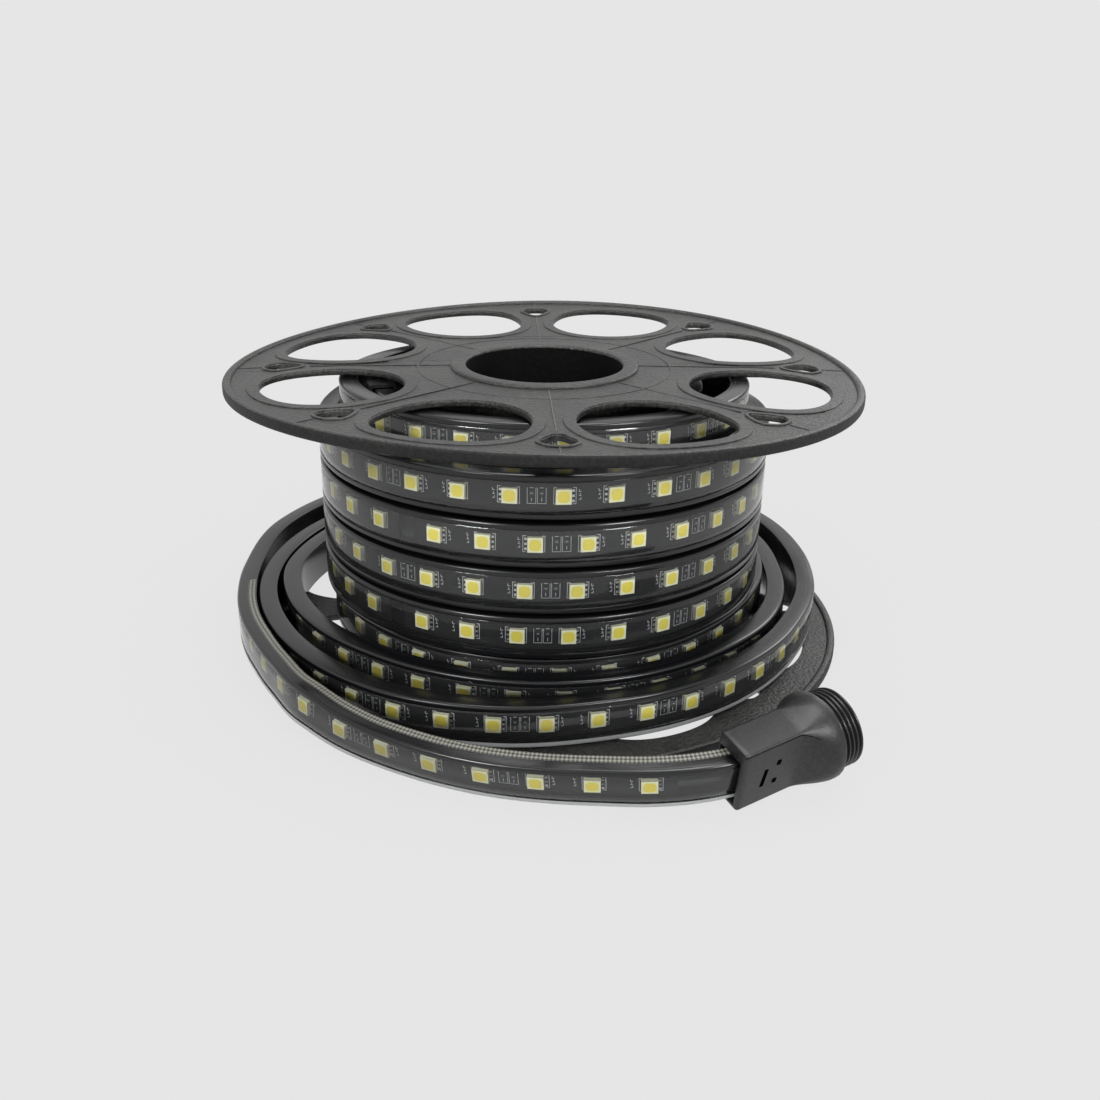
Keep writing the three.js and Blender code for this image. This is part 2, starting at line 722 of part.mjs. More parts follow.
// The strip's end stands in the mouth, a little askew, so the body's axes are turned from its own.
const endAxes = axesAt(lastAngle);
const entryTurn = degrees(ENTRY_TURN);
const bodyAlong = endAxes.along.clone().applyAxisAngle(endAxes.up, entryTurn);
const bodyLeft = new THREE.Vector3().crossVectors(endAxes.up, bodyAlong);
const entry = MOUTH_DEPTH - GAP - (STRIP_THICKNESS / 2) * Math.sin(entryTurn);
const drift = (entry * Math.tan(entryTurn)) / 2;
const mouthPoint = placed(endAxes, -STRIP_THICKNESS / 2, MOUTH_DROP).addScaledVector(bodyAlong, -entry);
connector.position.copy(mouthPoint.addScaledVector(bodyLeft, drift - MOUTH_OFFSET));
connector.setRotationFromMatrix(new THREE.Matrix4().makeBasis(bodyAlong, bodyLeft, endAxes.up));

const cap = part("strip_end_cap", endCap(), rubberBlack, 0.6);
const capReach = CAP_LENGTH - CAP_WALL - GAP;
const innerAxes = axesAt(angleAt(runLength - capReach / 2));
cap.position.copy(placed(innerAxes, -STRIP_THICKNESS / 2, 0).addScaledVector(innerAxes.along, capReach / 2));
cap.rotation.z = Math.atan2(-innerAxes.along.y, -innerAxes.along.x);

const assembly = new THREE.Group();
assembly.add(reel, strip, connector, cap);
assembly.updateMatrixWorld(true);

// The origin is on the ground, under the middle of the whole part.
const box = new THREE.Box3().setFromObject(assembly, true);
const middle = box.getCenter(new THREE.Vector3());
assembly.position.set(-middle.x, -middle.y, -box.min.z);

const group = new THREE.Group();
group.add(assembly);

export default group;
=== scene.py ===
"""The LED strip light: looks, studio light and camera. Metres in the scene; sizes below in millimetres."""

import math

import bpy
import numpy as np
from mathutils import Matrix, Vector


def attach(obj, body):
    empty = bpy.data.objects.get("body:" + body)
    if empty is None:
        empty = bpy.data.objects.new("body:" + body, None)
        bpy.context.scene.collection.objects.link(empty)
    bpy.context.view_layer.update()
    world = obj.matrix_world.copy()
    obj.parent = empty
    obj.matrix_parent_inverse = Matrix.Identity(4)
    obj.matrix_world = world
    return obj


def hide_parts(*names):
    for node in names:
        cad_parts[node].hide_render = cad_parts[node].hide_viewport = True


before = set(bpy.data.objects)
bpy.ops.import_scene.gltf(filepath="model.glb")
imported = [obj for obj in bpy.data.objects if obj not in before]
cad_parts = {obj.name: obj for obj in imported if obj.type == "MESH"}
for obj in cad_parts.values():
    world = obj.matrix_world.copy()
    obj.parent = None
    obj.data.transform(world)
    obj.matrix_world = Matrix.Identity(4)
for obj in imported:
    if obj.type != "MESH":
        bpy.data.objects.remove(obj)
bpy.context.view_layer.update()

MM = 0.001
SHIFT = np.array([1.748, 4.983, 0.0])  # from the reel's axis to the part's origin

# View, fitted to the photograph
FOCAL_PX = 1116.55
IMAGE_PX = 1100
CENTRE_PX = (541.75, 538.18)
CAMERA_BACK = 406.32
CAMERA_UP = 199.61
CAMERA_PITCH = 0.390
CAMERA_ROLL = 0.015

# Reel sizes
FLANGE_RADIUS = 115.3
REEL_HEIGHT = 102.8
RIM_HEIGHT = 4.1
RIM_WIDTH = 2.9
PLATE_RECESS = 1.1
PLATE_THICKNESS = 2.0
BORE_RADIUS = 29.0
BORE_WALL = 2.6
COLLAR_WIDTH = 5.7
DRUM_RADIUS = 46.5
WEB_COUNT = 8
WEB_OFFSET = 2.6
WINDOW_START = 8.8
WINDOW_MARGIN = 8.4
WEB_WIDTH = 19.42
KEYHOLE_LENGTH = 14.5
KEYHOLE_WIDTH = 12.5
KEYHOLE_MARGIN = 10.4
SAG = 2.0
TWIST = 1.0

# Strip
STRIP_HEIGHT = 15.0
STRIP_THICKNESS = 7.0
GROOVE_DEPTH = 3.3
TAPE_WIDTH = 10.0
TAPE_THICKNESS = 0.4
CHIP_SIZE = 5.0
CHIP_HEIGHT = 1.3
CHIP_PITCH = 1000 / 60
TAPE_JOINT = 6.3
CHIPS_PER_TAPE = 60
FIRST_TAPE_CHIPS = 31
LEAD_LENGTH = 17.6
TAIL_LENGTH = 12.0
CLEAR_FOOT_LENGTH = 1450.0
# Gloss of the clear face at shares of the run, counted from the plug; dimmed over the middle of the run, on
# the lower turns, as painted shade
CLEAR_GLOSS_AND_PAINTED_SHADE = [(0.14, 1.0), (0.19, 0.45), (0.45, 0.3), (0.56, 0.35), (0.68, 1.0)]
WOVEN_EDGE = -3.9
WOVEN_LENGTH = 230.0
GAP = 0.3

# Winding
ROW_COUNT = 5
FIRST_DROP = 12.2
ROW_PITCH = 16.25
ROW_RADIUS = 83.3
ROW_FRONT = 90
ROW_BACK = 225
BACK_RADII = [77.8, 81.2, 84.7, 84.0]
BACK_DROP = 14.0
LAST_ROW_STEP = 2.6

# Connector sizes
BODY_LENGTH = 33.0
BODY_WIDTH = 12.4
BODY_HEIGHT = 23.0
BODY_STRAIGHT = 19.5
BODY_CORNER = 1.3
BARREL_RADIUS = 14.0
MOUTH_DEPTH = 3.6
MOUTH_CLEARANCE = 1.0
MOUTH_OFFSET = 0.6
MOUTH_DROP = 1.6
ENTRY_TURN = 12.0
SPIGOT_RADIUS = 10.6
SPIGOT_LENGTH = 5.5
SOCKET_RADIUS = 9.0
SOCKET_FLOOR = 2.0
THREAD_RADIUS = 12.4
THREAD_DEPTH = 1.1
THREAD_PITCH = 1.6
THREAD_TURNS = 5

# Camera

SENSOR_WIDTH = 36


def add_camera():
    """The camera that took the photograph, in front of the reel and above it."""
    data = bpy.data.cameras.new("camera")
    data.sensor_width = SENSOR_WIDTH
    data.lens = SENSOR_WIDTH * FOCAL_PX / IMAGE_PX
    data.shift_x = (IMAGE_PX / 2 - CENTRE_PX[0]) / IMAGE_PX
    data.shift_y = (CENTRE_PX[1] - IMAGE_PX / 2) / IMAGE_PX
    data.clip_start = 0.01
    data.clip_end = 20
    camera = bpy.data.objects.new("camera", data)
    bpy.context.collection.objects.link(camera)
    spot = Vector((SHIFT[0] * MM, (SHIFT[1] - CAMERA_BACK) * MM, CAMERA_UP * MM))
    pitch = Matrix.Rotation(math.pi / 2 - CAMERA_PITCH, 4, "X")
    roll = Matrix.Rotation(CAMERA_ROLL, 4, "Z")
    camera.matrix_world = Matrix.Translation(spot) @ pitch @ roll
    bpy.context.scene.camera = camera


add_camera()

# Materials

FINE_GRAIN = 900
BROAD_TONE = 45
BROAD_SHARE = 0.35
GRAIN_DEPTH = 0.0004
TONE_DARK = 0.4
TONE_LIGHT = 0.62
DRAWN_LINES = (12, 2600, 1)  # noise is this fine along the strip, across it and in depth
LINE_BUMP = 0.35
LINE_BUMP_DEPTH = 0.0001
LINE_ROUGHNESS = [(0.3, 0.16), (0.75, 0.3)]
THREADS = 1100
THREAD_DARK = (0.03, 0.03, 0.028)
THREAD_CREAM = (0.24, 0.235, 0.2)
MILK_WHITE = (0.8, 0.82, 0.83, 1)
CLEAR_ROUGHNESS = 0.1
CLEAR_IOR = 1.56


class Nodes:
    """A material's node tree with short helpers."""

    def __init__(self, name):
        self.material = bpy.data.materials.new(name)
        self.material.use_nodes = True
        self.tree = self.material.node_tree
        self.tree.nodes.clear()
        self.output = self.add("ShaderNodeOutputMaterial")

    def add(self, kind, values=None, **properties):
        node = self.tree.nodes.new(kind)
        for key, value in properties.items():
            setattr(node, key, value)
        for key, value in (values or {}).items():
            node.inputs[key].default_value = value
        return node

    def link(self, out, into):
        self.tree.links.new(out, into)

    def principled(self, colour, roughness, **values):
        shader = self.add("ShaderNodeBsdfPrincipled")
        shader.inputs["Base Color"].default_value = (*colour, 1)
        shader.inputs["Roughness"].default_value = roughness
        for key, value in values.items():
            shader.inputs[key.replace("_", " ")].default_value = value
        self.link(shader.outputs[0], self.output.inputs[0])
        return shader

    def ramp(self, source, stops):
        ramp = self.add("ShaderNodeValToRGB")
        elements = ramp.color_ramp.elements
        while len(elements) < len(stops):
            elements.new(0.5)
        for element, (position, value) in zip(elements, stops):
            element.position = position
            element.color = (*value, 1) if isinstance(value, tuple) else (value, value, value, 1)
        self.link(source, ramp.inputs[0])
        return ramp.outputs[0]

    def bump(self, height, shader, strength, distance):
        bump = self.add("ShaderNodeBump", {"Strength": strength, "Distance": distance})
        self.link(height, bump.inputs["Height"])
        self.link(bump.outputs[0], shader.inputs["Normal"])


def grain_group():
    """Fine moulded grain: a height and a tone, from a point in space."""
    group = bpy.data.node_groups.new("moulded_grain", "ShaderNodeTree")
    group.interface.new_socket("Vector", in_out="INPUT", socket_type="NodeSocketVector")
    for name in ("Height", "Tone"):
        group.interface.new_socket(name, in_out="OUTPUT", socket_type="NodeSocketFloat")
    source = group.nodes.new("NodeGroupInput")
    result = group.nodes.new("NodeGroupOutput")
    noises = []
    for scale, detail in ((FINE_GRAIN, 3), (BROAD_TONE, 4)):
        noise = group.nodes.new("ShaderNodeTexNoise")
        noise.inputs["Scale"].default_value = scale
        noise.inputs["Detail"].default_value = detail
        group.links.new(source.outputs["Vector"], noise.inputs["Vector"])
        noises.append(noise.outputs[0])
    blend = group.nodes.new("ShaderNodeMix")
    blend.inputs["Factor"].default_value = BROAD_SHARE
    group.links.new(noises[0], blend.inputs["A"])
    group.links.new(noises[1], blend.inputs["B"])
    group.links.new(noises[0], result.inputs["Height"])
    group.links.new(blend.outputs["Result"], result.inputs["Tone"])
    return group


GRAIN = grain_group()


def moulded(name, dark, light, roughness, strength, gloss=0.5):
    """Moulded plastic or rubber, with grain and a tone between dark and light."""
    made = Nodes(name)
    shader = made.principled(dark, roughness, Specular_IOR_Level=gloss)
    place = made.add("ShaderNodeTexCoord")
    grain = made.add("ShaderNodeGroup", node_tree=GRAIN)
    made.link(place.outputs["Object"], grain.inputs["Vector"])
    tone = made.ramp(grain.outputs["Tone"], [(TONE_DARK, dark), (TONE_LIGHT, light)])
    made.link(tone, shader.inputs["Base Color"])
    made.bump(grain.outputs["Height"], shader, strength, GRAIN_DEPTH)
    return made.material


def plain(name, colour, roughness, **values):
    """One even colour."""
    made = Nodes(name)
    made.principled(colour, roughness, **values)
    return made.material


def sleeve_material():
    """Black sleeve with fine lines drawn along it."""
    made = Nodes("sleeve_black")
    shader = made.principled((0.004, 0.0042, 0.0048), 0.22, Specular_IOR_Level=0.5)
    place = made.add("ShaderNodeTexCoord")
    stretch = made.add("ShaderNodeMapping")
    stretch.inputs["Scale"].default_value = DRAWN_LINES
    made.link(place.outputs["UV"], stretch.inputs[0])
    lines = made.add("ShaderNodeTexNoise", {"Scale": 1.0, "Detail": 3})
    made.link(stretch.outputs[0], lines.inputs["Vector"])
    made.bump(lines.outputs[0], shader, LINE_BUMP, LINE_BUMP_DEPTH)
    rough = made.ramp(lines.outputs[0], LINE_ROUGHNESS)
    made.link(rough, shader.inputs["Roughness"])
    return made.material


def woven_material():
    """Cream and black threads of the woven band along the strip's back edge."""
    made = Nodes("woven_band")
    shader = made.principled((0.1, 0.1, 0.09), 0.5)
    place = made.add("ShaderNodeTexCoord")
    turned = made.add("ShaderNodeMapping")
    turned.inputs["Rotation"].default_value = (0, 0, math.radians(45))
    made.link(place.outputs["UV"], turned.inputs[0])
    checks = made.add("ShaderNodeTexChecker", {"Scale": THREADS})
    made.link(turned.outputs[0], checks.inputs["Vector"])
    ramp = made.ramp(checks.outputs["Fac"], [(0.0, THREAD_DARK), (1.0, THREAD_CREAM)])
    made.link(ramp, shader.inputs["Base Color"])
    return made.material


def clear_material(name, milk, tint=(0.9, 0.92, 0.93)):
    """Clear soft plastic: sees through, shines at a grazing look, with a little milk in it. Its shine is
    dimmed along part of the run: painted shade.
    """
    made = Nodes(name)
    through = made.add("ShaderNodeBsdfTransparent", {"Color": (*tint, 1)})
    shine = made.add("ShaderNodeBsdfGlossy", {"Roughness": CLEAR_ROUGHNESS})
    place = made.add("ShaderNodeTexCoord")
    split = made.add("ShaderNodeSeparateXYZ")
    made.link(place.outputs["UV"], split.inputs[0])
    share = made.add("ShaderNodeMath", {1: 1 / (RUN * MM)}, operation="MULTIPLY")
    made.link(split.outputs["X"], share.inputs[0])
    # the shine's colour follows the run: painted shade dims it on the lower turns
    made.link(made.ramp(share.outputs[0], CLEAR_GLOSS_AND_PAINTED_SHADE), shine.inputs["Color"])
    cloud = made.add("ShaderNodeBsdfDiffuse", {"Color": MILK_WHITE})
    fresnel = made.add("ShaderNodeFresnel", {"IOR": CLEAR_IOR})
    body = made.add("ShaderNodeMixShader", {"Fac": milk})
    made.link(through.outputs[0], body.inputs[1])
    made.link(cloud.outputs[0], body.inputs[2])
    mix = made.add("ShaderNodeMixShader")
    made.link(fresnel.outputs[0], mix.inputs[0])
    made.link(body.outputs[0], mix.inputs[1])
    made.link(shine.outputs[0], mix.inputs[2])
    made.link(mix.outputs[0], made.output.inputs[0])
    return made.material


REEL = moulded("reel_plastic", (0.002, 0.002, 0.0018), (0.026, 0.0255, 0.0235), 0.44, 1.0, 0.6)
# A lighter finish for some raised web lines: painted glint
REEL_LINE_GLINT = moulded("reel_line_painted_glint", (0.05, 0.05, 0.048), (0.1, 0.1, 0.095), 0.5, 0.3)
# Near black and matte inside the bore: painted shade
BORE_PAINTED_SHADE = moulded("reel_bore_painted_shade", (0.001, 0.001, 0.001), (0.003, 0.003, 0.003), 0.8, 0.3, 0.1)
# The rim's outer side is made darker: painted shade
RIM_PAINTED_SHADE = moulded("reel_rim_painted_shade", (0.001, 0.001, 0.001), (0.008, 0.008, 0.0075), 0.6, 0.8, 0.35)
SLEEVE = sleeve_material()
WOVEN = woven_material()
BOARD = plain("board_black", (0.006, 0.006, 0.007), 0.5, Specular_IOR_Level=0.3)
FRAME = plain("chip_frame", (0.86, 0.85, 0.6), 0.45)
PHOSPHOR = plain("phosphor", (0.84, 0.72, 0.1), 0.4)
INK = plain("board_ink", (0.4, 0.41, 0.42), 0.6)
SOLDER = plain("solder", (0.6, 0.6, 0.6), 0.35, Metallic=1.0)
RESISTOR = plain("resistor", (0.02, 0.02, 0.022), 0.35)
RUBBER = moulded("connector_rubber", (0.003, 0.0031, 0.0034), (0.012, 0.0123, 0.0135), 0.4, 0.15, 0.55)
# Near black with no shine for cut-in marks and the seam groove: painted shade
PAINTED_RECESS_SHADE = plain("recess_painted_shade", (0.001, 0.001, 0.001), 0.9, Specular_IOR_Level=0.0)
NYLON = plain("connector_nylon", (0.008, 0.008, 0.009), 0.3)
CONTACT = plain("contact_metal", (0.72, 0.6, 0.34), 0.25, Metallic=1.0)

# Mesh helpers

ROUND_SIDES = 144


class Build:
    """Collects faces in millimetres about the reel's axis, and makes one object of them."""

    def __init__(self, name, slot, *materials):
        self.name = name
        self.slot = slot
        self.materials = materials
        self.points = []
        self.faces = []
        self.uvs = []
        self.slots = []

    def add(self, points, faces, material=0, uvs=None):
        start = sum(len(p) for p in self.points)
        self.points.append(np.asarray(points, float).reshape(-1, 3))
        for k, face in enumerate(faces):
            self.faces.append([start + i for i in face])
            self.slots.append(material[k] if isinstance(material, list) else material)
            self.uvs.append(uvs[k] if uvs else [(0, 0)] * len(face))

    def grid(self, rings, material=0, closed=True, caps=False, lengths=None):
        """Quads between rings of points. material may be a function of a side and a length."""
        rings = np.asarray(rings, float)
        count, sides = rings.shape[:2]
        steps = sides if closed else sides - 1
        around = np.concatenate(
            [[0], np.cumsum(np.linalg.norm(np.diff(rings[0], axis=0, append=rings[0][:1]), axis=1))]
        )
        faces, slots, uvs = [], [], []
        for i in range(count - 1):
            for k in range(steps):
                n = (k + 1) % sides
                faces.append((i * sides + k, i * sides + n, (i + 1) * sides + n, (i + 1) * sides + k))
                length = 0 if lengths is None else lengths[i]
                slots.append(material(k, length) if callable(material) else material)
                if lengths is not None:
                    a, b = lengths[i] * MM, lengths[i + 1] * MM
                    c, d = around[k] * MM, around[k + 1] * MM
                    uvs.append([(a, c), (a, d), (b, d), (b, c)])
        if caps:
            faces += [tuple(range(sides))[::-1], tuple((count - 1) * sides + k for k in range(sides))]
            slots += [slots[0], slots[0]]
            if lengths is not None:
                uvs += [[(0, 0)] * sides, [(0, 0)] * sides]
        self.add(rings.reshape(-1, 3), faces, slots, uvs or None)

    def box(self, centre, axes, size, material=0):
        """A block with its middle at centre; axes are three unit vectors and size its three lengths."""
        corners = []
        for a in (-0.5, 0.5):
            for b in (-0.5, 0.5):
                for c in (-0.5, 0.5):
                    corners.append(
                        centre + axes[0] * a * size[0] + axes[1] * b * size[1] + axes[2] * c * size[2]
                    )
        faces = [(0, 1, 3, 2), (4, 6, 7, 5), (0, 4, 5, 1), (2, 3, 7, 6), (0, 2, 6, 4), (1, 5, 7, 3)]
        if np.dot(np.cross(axes[0], axes[1]), axes[2]) < 0:
            faces = [face[::-1] for face in faces]
        self.add(corners, faces, material)

    def turned(self, profile, material=0):
        """A closed profile of (radius, height) points turned round the reel's axis."""
        rings = []
        for i in range(ROUND_SIDES + 1):
            turn = 2 * math.pi * (i % ROUND_SIDES) / ROUND_SIDES
            rings.append([(r * math.cos(turn), r * math.sin(turn), h) for r, h in profile])
        self.grid(rings, material)

    def finish(self, replaces, sharp):
        """Makes the piece; edges that turn by more than sharp degrees stay sharp."""
        points = np.vstack(self.points) + SHIFT
        mesh = bpy.data.meshes.new(self.name)
        mesh.from_pydata((points * MM).tolist(), [], self.faces)
        for material in self.materials:
            mesh.materials.append(material)
        mesh.polygons.foreach_set("material_index", self.slots)
        layer = mesh.uv_layers.new(name="UVMap")
        layer.data.foreach_set("uv", [c for face in self.uvs for uv in face for c in uv])
        mesh.validate()
        mesh.polygons.foreach_set("use_smooth", [True] * len(mesh.polygons))
        mesh.update()
        mesh.set_sharp_from_angle(angle=math.radians(sharp))
        piece = bpy.data.objects.new(self.name, mesh)
        bpy.context.collection.objects.link(piece)
        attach(piece, "root")
        if replaces:
            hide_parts(*replaces)


# Winding
# A station has its angle, the radius of the strip's face, the height of its middle and the outward
# lean of its top. The angle is 0 at the front of the top turn and grows by a full turn a row.

PLATE_LEVEL = PLATE_RECESS + PLATE_THICKNESS + GAP + STRIP_HEIGHT / 2
RIM_LEVEL = RIM_HEIGHT + GAP + STRIP_HEIGHT / 2 + 0.2
GROUND_LEVEL = STRIP_HEIGHT / 2
UNDER_FLANGE = REEL_HEIGHT - PLATE_RECESS - PLATE_THICKNESS - STRIP_HEIGHT / 2

TOP_TURN = [
    (-440, 64, UNDER_FLANGE - 3, 0),
    (-405, 61.5, UNDER_FLANGE - 3, 0),
    (-360, 58, UNDER_FLANGE - 3, 0),
    (-315, 57.5, UNDER_FLANGE - 3, 0),
    (-270, 59, UNDER_FLANGE - 3, 0),
    (-225, 62, UNDER_FLANGE - 2.6, 0),
    (-180, 66.5, UNDER_FLANGE - 2, 0),
    (-135, 72, UNDER_FLANGE - 1.5, 0),
    (-90, 75.5, UNDER_FLANGE - 1.1, 0),
    (-45, 71.5, UNDER_FLANGE - 0.6, 0),
    (0, 67.5, UNDER_FLANGE - 0.5, 0),
    (45, 71.5, UNDER_FLANGE - 0.6, 0),
    (90, 75.5, UNDER_FLANGE - 1.1, 0),
    (135, 71.6, UNDER_FLANGE - 2.4, 0),
    (180, 74.4, UNDER_FLANGE - 4.4, 0),
    (225, 80.4, UNDER_FLANGE - 8.6, 0),
]


def level_turns():
    """Turns that lie level at the front and step down at the back."""
    stations = []
    for row in range(1, ROW_COUNT + 1):
        level = UNDER_FLANGE - FIRST_DROP - (row - 1) * ROW_PITCH
        last = row == ROW_COUNT
        for angle in (-ROW_FRONT, -ROW_FRONT / 2, 0, ROW_FRONT / 2, ROW_FRONT):
            if not last or angle <= ROW_FRONT / 2:
                stations.append((360 * row + angle, ROW_RADIUS - LAST_ROW_STEP * last, level, 0))
        if not last:
            stations.append((360 * row + ROW_BACK, BACK_RADII[row - 1], level - BACK_DROP, 0))
    return stations


LOOSE_TURNS = [
    (1866, 82.5, 15.3, 0),
    (1887, 87, 15, 0),
    (1906, 92, 14.4, 0),
    (1930, 98, 13.2, 0),
    (1980, 99.5, PLATE_LEVEL, 0),
    (2010, 101, PLATE_LEVEL, 0),
    (2040, 103, PLATE_LEVEL, 0),
    (2065, 102.8, PLATE_LEVEL, 0),
    (2084, 99.2, PLATE_LEVEL, 0),
    (2102, 95, PLATE_LEVEL, 0),
    (2123, 90.6, PLATE_LEVEL, 0),
    (2147, 89, PLATE_LEVEL, 0),
    (2170, 88.8, PLATE_LEVEL, 0),
    (2200, 89.6, PLATE_LEVEL, 0),
    (2227, 93.5, PLATE_LEVEL, 0),
    (2255, 97.3, PLATE_LEVEL, 0),
    (2275, 103.6, PLATE_LEVEL, 0),
    (2292, 108, PLATE_LEVEL, 0),
    (2310, 109.6, PLATE_LEVEL, 0),
    (2340, 111.2, PLATE_LEVEL, 0),
    (2395, 111.8, PLATE_LEVEL, 0),
    (2430, 110.2, PLATE_LEVEL, 0),
    (2460, 108.7, PLATE_LEVEL, 0),
    (2490, 108.5, PLATE_LEVEL, 0),
    (2512, 105.8, PLATE_LEVEL, 0),
    (2536, 102, PLATE_LEVEL, 0),
    (2561, 101.8, PLATE_LEVEL, 0),
    (2584, 102.8, PLATE_LEVEL, 0),
    (2606, 107.5, PLATE_LEVEL, 0),
    (2622, 111.6, RIM_LEVEL, 0),
    (2645, 120, RIM_LEVEL, 0),
    (2665, 124.5, RIM_LEVEL, 0),
    (2700, 127.4, RIM_LEVEL, 0),
    (2740, 127.4, RIM_LEVEL + 1.2, 0),
    (2768, 124, RIM_LEVEL + 1, 0),
    (2789, 118.4, RIM_LEVEL, 0),
    (2803, 117.2, RIM_LEVEL, 0),
    (2819, 117.4, RIM_LEVEL, 0),
    (2830, 119.2, RIM_LEVEL, 0),
    (2841, 123.2, RIM_LEVEL, 0),
    (2849, 124.2, 9.8, 5),
    (2857, 125.4, 8.3, 12),
    (2872, 129.2, GROUND_LEVEL, 15),
    (2887, 134.4, GROUND_LEVEL + 0.8, 14),
    (2895, 139.5, GROUND_LEVEL + 1.9, 13),
    (2901, 142.7, GROUND_LEVEL + 2.9, 13),
    (2904.2, 143.6, GROUND_LEVEL + 3.3, 13),
]
TABLE = np.array(TOP_TURN + level_turns() + LOOSE_TURNS, float)


def interpolated(angle, column):
    """Smooth curve through the stations that never overshoots them."""
    last = len(TABLE) - 1
    i = int(np.clip(np.searchsorted(TABLE[:, 0], angle, side="right") - 1, 0, last - 1))

    def slope(k):
        return (TABLE[k + 1, column] - TABLE[k, column]) / (TABLE[k + 1, 0] - TABLE[k, 0])

    def tangent(k):
        if k == 0:
            return slope(0)
        if k == last:
            return slope(last - 1)
        before, after = slope(k - 1), slope(k)
        return 0 if before * after <= 0 else 2 * before * after / (before + after)

    span = TABLE[i + 1, 0] - TABLE[i, 0]
    t = (angle - TABLE[i, 0]) / span
    return (
        (2 * t**3 - 3 * t**2 + 1) * TABLE[i, column]
        + (t**3 - 2 * t**2 + t) * span * tangent(i)
        + (3 * t**2 - 2 * t**3) * TABLE[i + 1, column]
        + (t**3 - t**2) * span * tangent(i + 1)
    )


def face_point(angle):
    """The middle of the strip's face."""
    turn = math.radians(angle)
    radius = interpolated(angle, 1)
    return np.array([radius * math.sin(turn), -radius * math.cos(turn), interpolated(angle, 2)])


def unit(v):
    return v / np.linalg.norm(v)


def axes_at(angle):
    """The strip's place and its own axes: out of its face, up its height, along it."""
    along = unit(face_point(angle + 0.5) - face_point(angle - 0.5))
    level = unit(np.array([along[1], -along[0], 0]))
    up = unit(np.cross(level, along))
    lean = math.radians(interpolated(angle, 3))
    out = level * math.cos(lean) - up * math.sin(lean)
    return face_point(angle), out, up * math.cos(lean) + level * math.sin(lean), along


TAPE_DEPTH = GROOVE_DEPTH - GAP - TAPE_THICKNESS / 2
FIRST_ANGLE = TABLE[0, 0]
LAST_ANGLE = TABLE[-1, 0]


def tape_point(angle):
    """The middle of the tape behind the strip's face."""
    place, out, _, _ = axes_at(angle)
    return place - out * TAPE_DEPTH


def measured_run():
    """Lengths along the tape from the plug's end to the inner one, each with its angle."""
    marks = [(0.0, LAST_ANGLE)]
    before = tape_point(LAST_ANGLE)
    angle = LAST_ANGLE
    while angle > FIRST_ANGLE:
        angle = max(FIRST_ANGLE, angle - 1)
        here = tape_point(angle)
        marks.append((marks[-1][0] + np.linalg.norm(here - before), angle))
        before = here
    return np.array(marks)


MARKS = measured_run()
RUN = MARKS[-1, 0]


def angle_at(length):
    return float(np.interp(length, MARKS[:, 0], MARKS[:, 1]))


def swept(section, lengths):
    """Rings of a section of (out, up) points at these lengths along the strip."""
    rings = []
    for length in lengths:
        place, out, up, _ = axes_at(angle_at(length))
        rings.append([place + out * o + up * u for o, u in section])
    return np.array(rings)


SWEEP_STEP = 2.9


def spread(start, end):
    """Lengths from start to end, about a sweep step apart."""
    return np.linspace(start, end, max(2, int(round(abs(end - start) / SWEEP_STEP)) + 1))


# Sleeve and clear face

HALF = STRIP_HEIGHT / 2
LIP = TAPE_WIDTH / 2 + GAP
LIP_START = -0.35  # the groove's side ends here, and its flared lip at the next
LIP_FRONT = -0.05
LIP_FLARE = 0.2
SHOULDER_RADIUS = 1.05
TOP_FLAT = -3.8
BACK_CORNER = 0.5
FACE_FLAT = 0.45  # the clear face is flat over this share of its width
FACE_BEND = (0.12, 0.5)  # how far back it lies, and how far in from the lip
FACE_EDGE = (0.4, 0.05)


def rounded_corner(centre, radius, start, steps):
    """A quarter of a circle, from the start angle on."""
    turns = [math.radians(start + 90 * i / steps) for i in range(steps + 1)]
    return [(centre[0] + radius * math.cos(t), centre[1] + radius * math.sin(t)) for t in turns]


def upper_section():
    """Upper half of the sleeve, from the groove's floor over the lip and shoulder to the back."""
    points = [(-GROOVE_DEPTH, LIP), (LIP_START, LIP), (LIP_FRONT, LIP + LIP_FLARE)]
    points += rounded_corner((-SHOULDER_RADIUS, HALF - SHOULDER_RADIUS), SHOULDER_RADIUS, 0, 5)
    points += [(TOP_FLAT, HALF), (WOVEN_EDGE, HALF)]
    back = BACK_CORNER - STRIP_THICKNESS
    return points + rounded_corner((back, HALF - BACK_CORNER), BACK_CORNER, 90, 3)


UPPER_SECTION = upper_section()
SECTION = UPPER_SECTION + [(out, -up) for out, up in reversed(UPPER_SECTION)]
WOVEN_START = UPPER_SECTION.index((WOVEN_EDGE, HALF))
LOWER_SHOULDER = len(SECTION) - WOVEN_START
LOWER_LIP = len(SECTION) - 3
BLACK, WOVEN_BAND, CLEAR_FOOT = range(3)


def sleeve_finish(side, length):
    """Woven on the outer turn's top back edge, clear at the foot of two turns, black elsewhere."""
    if WOVEN_START <= side < len(UPPER_SECTION) - 1 and length < WOVEN_LENGTH:
        return WOVEN_BAND
    if LOWER_SHOULDER <= side < LOWER_LIP and length < CLEAR_FOOT_LENGTH:
        return CLEAR_FOOT
    return BLACK


def face_section():
    """The clear face between the lips, from the lower one to the upper one."""
    bend = (-FACE_BEND[0], LIP - FACE_BEND[1])
    edge = (-FACE_EDGE[0], LIP - FACE_EDGE[1])
    upper = [(0.0, LIP * FACE_FLAT), bend, edge]
    return [(out, -up) for out, up in reversed(upper)] + upper


CLEAR = clear_material("clear_face", 0.012, (0.97, 0.98, 0.98))
CLEAR_EDGE = clear_material("clear_edge", 0.38)


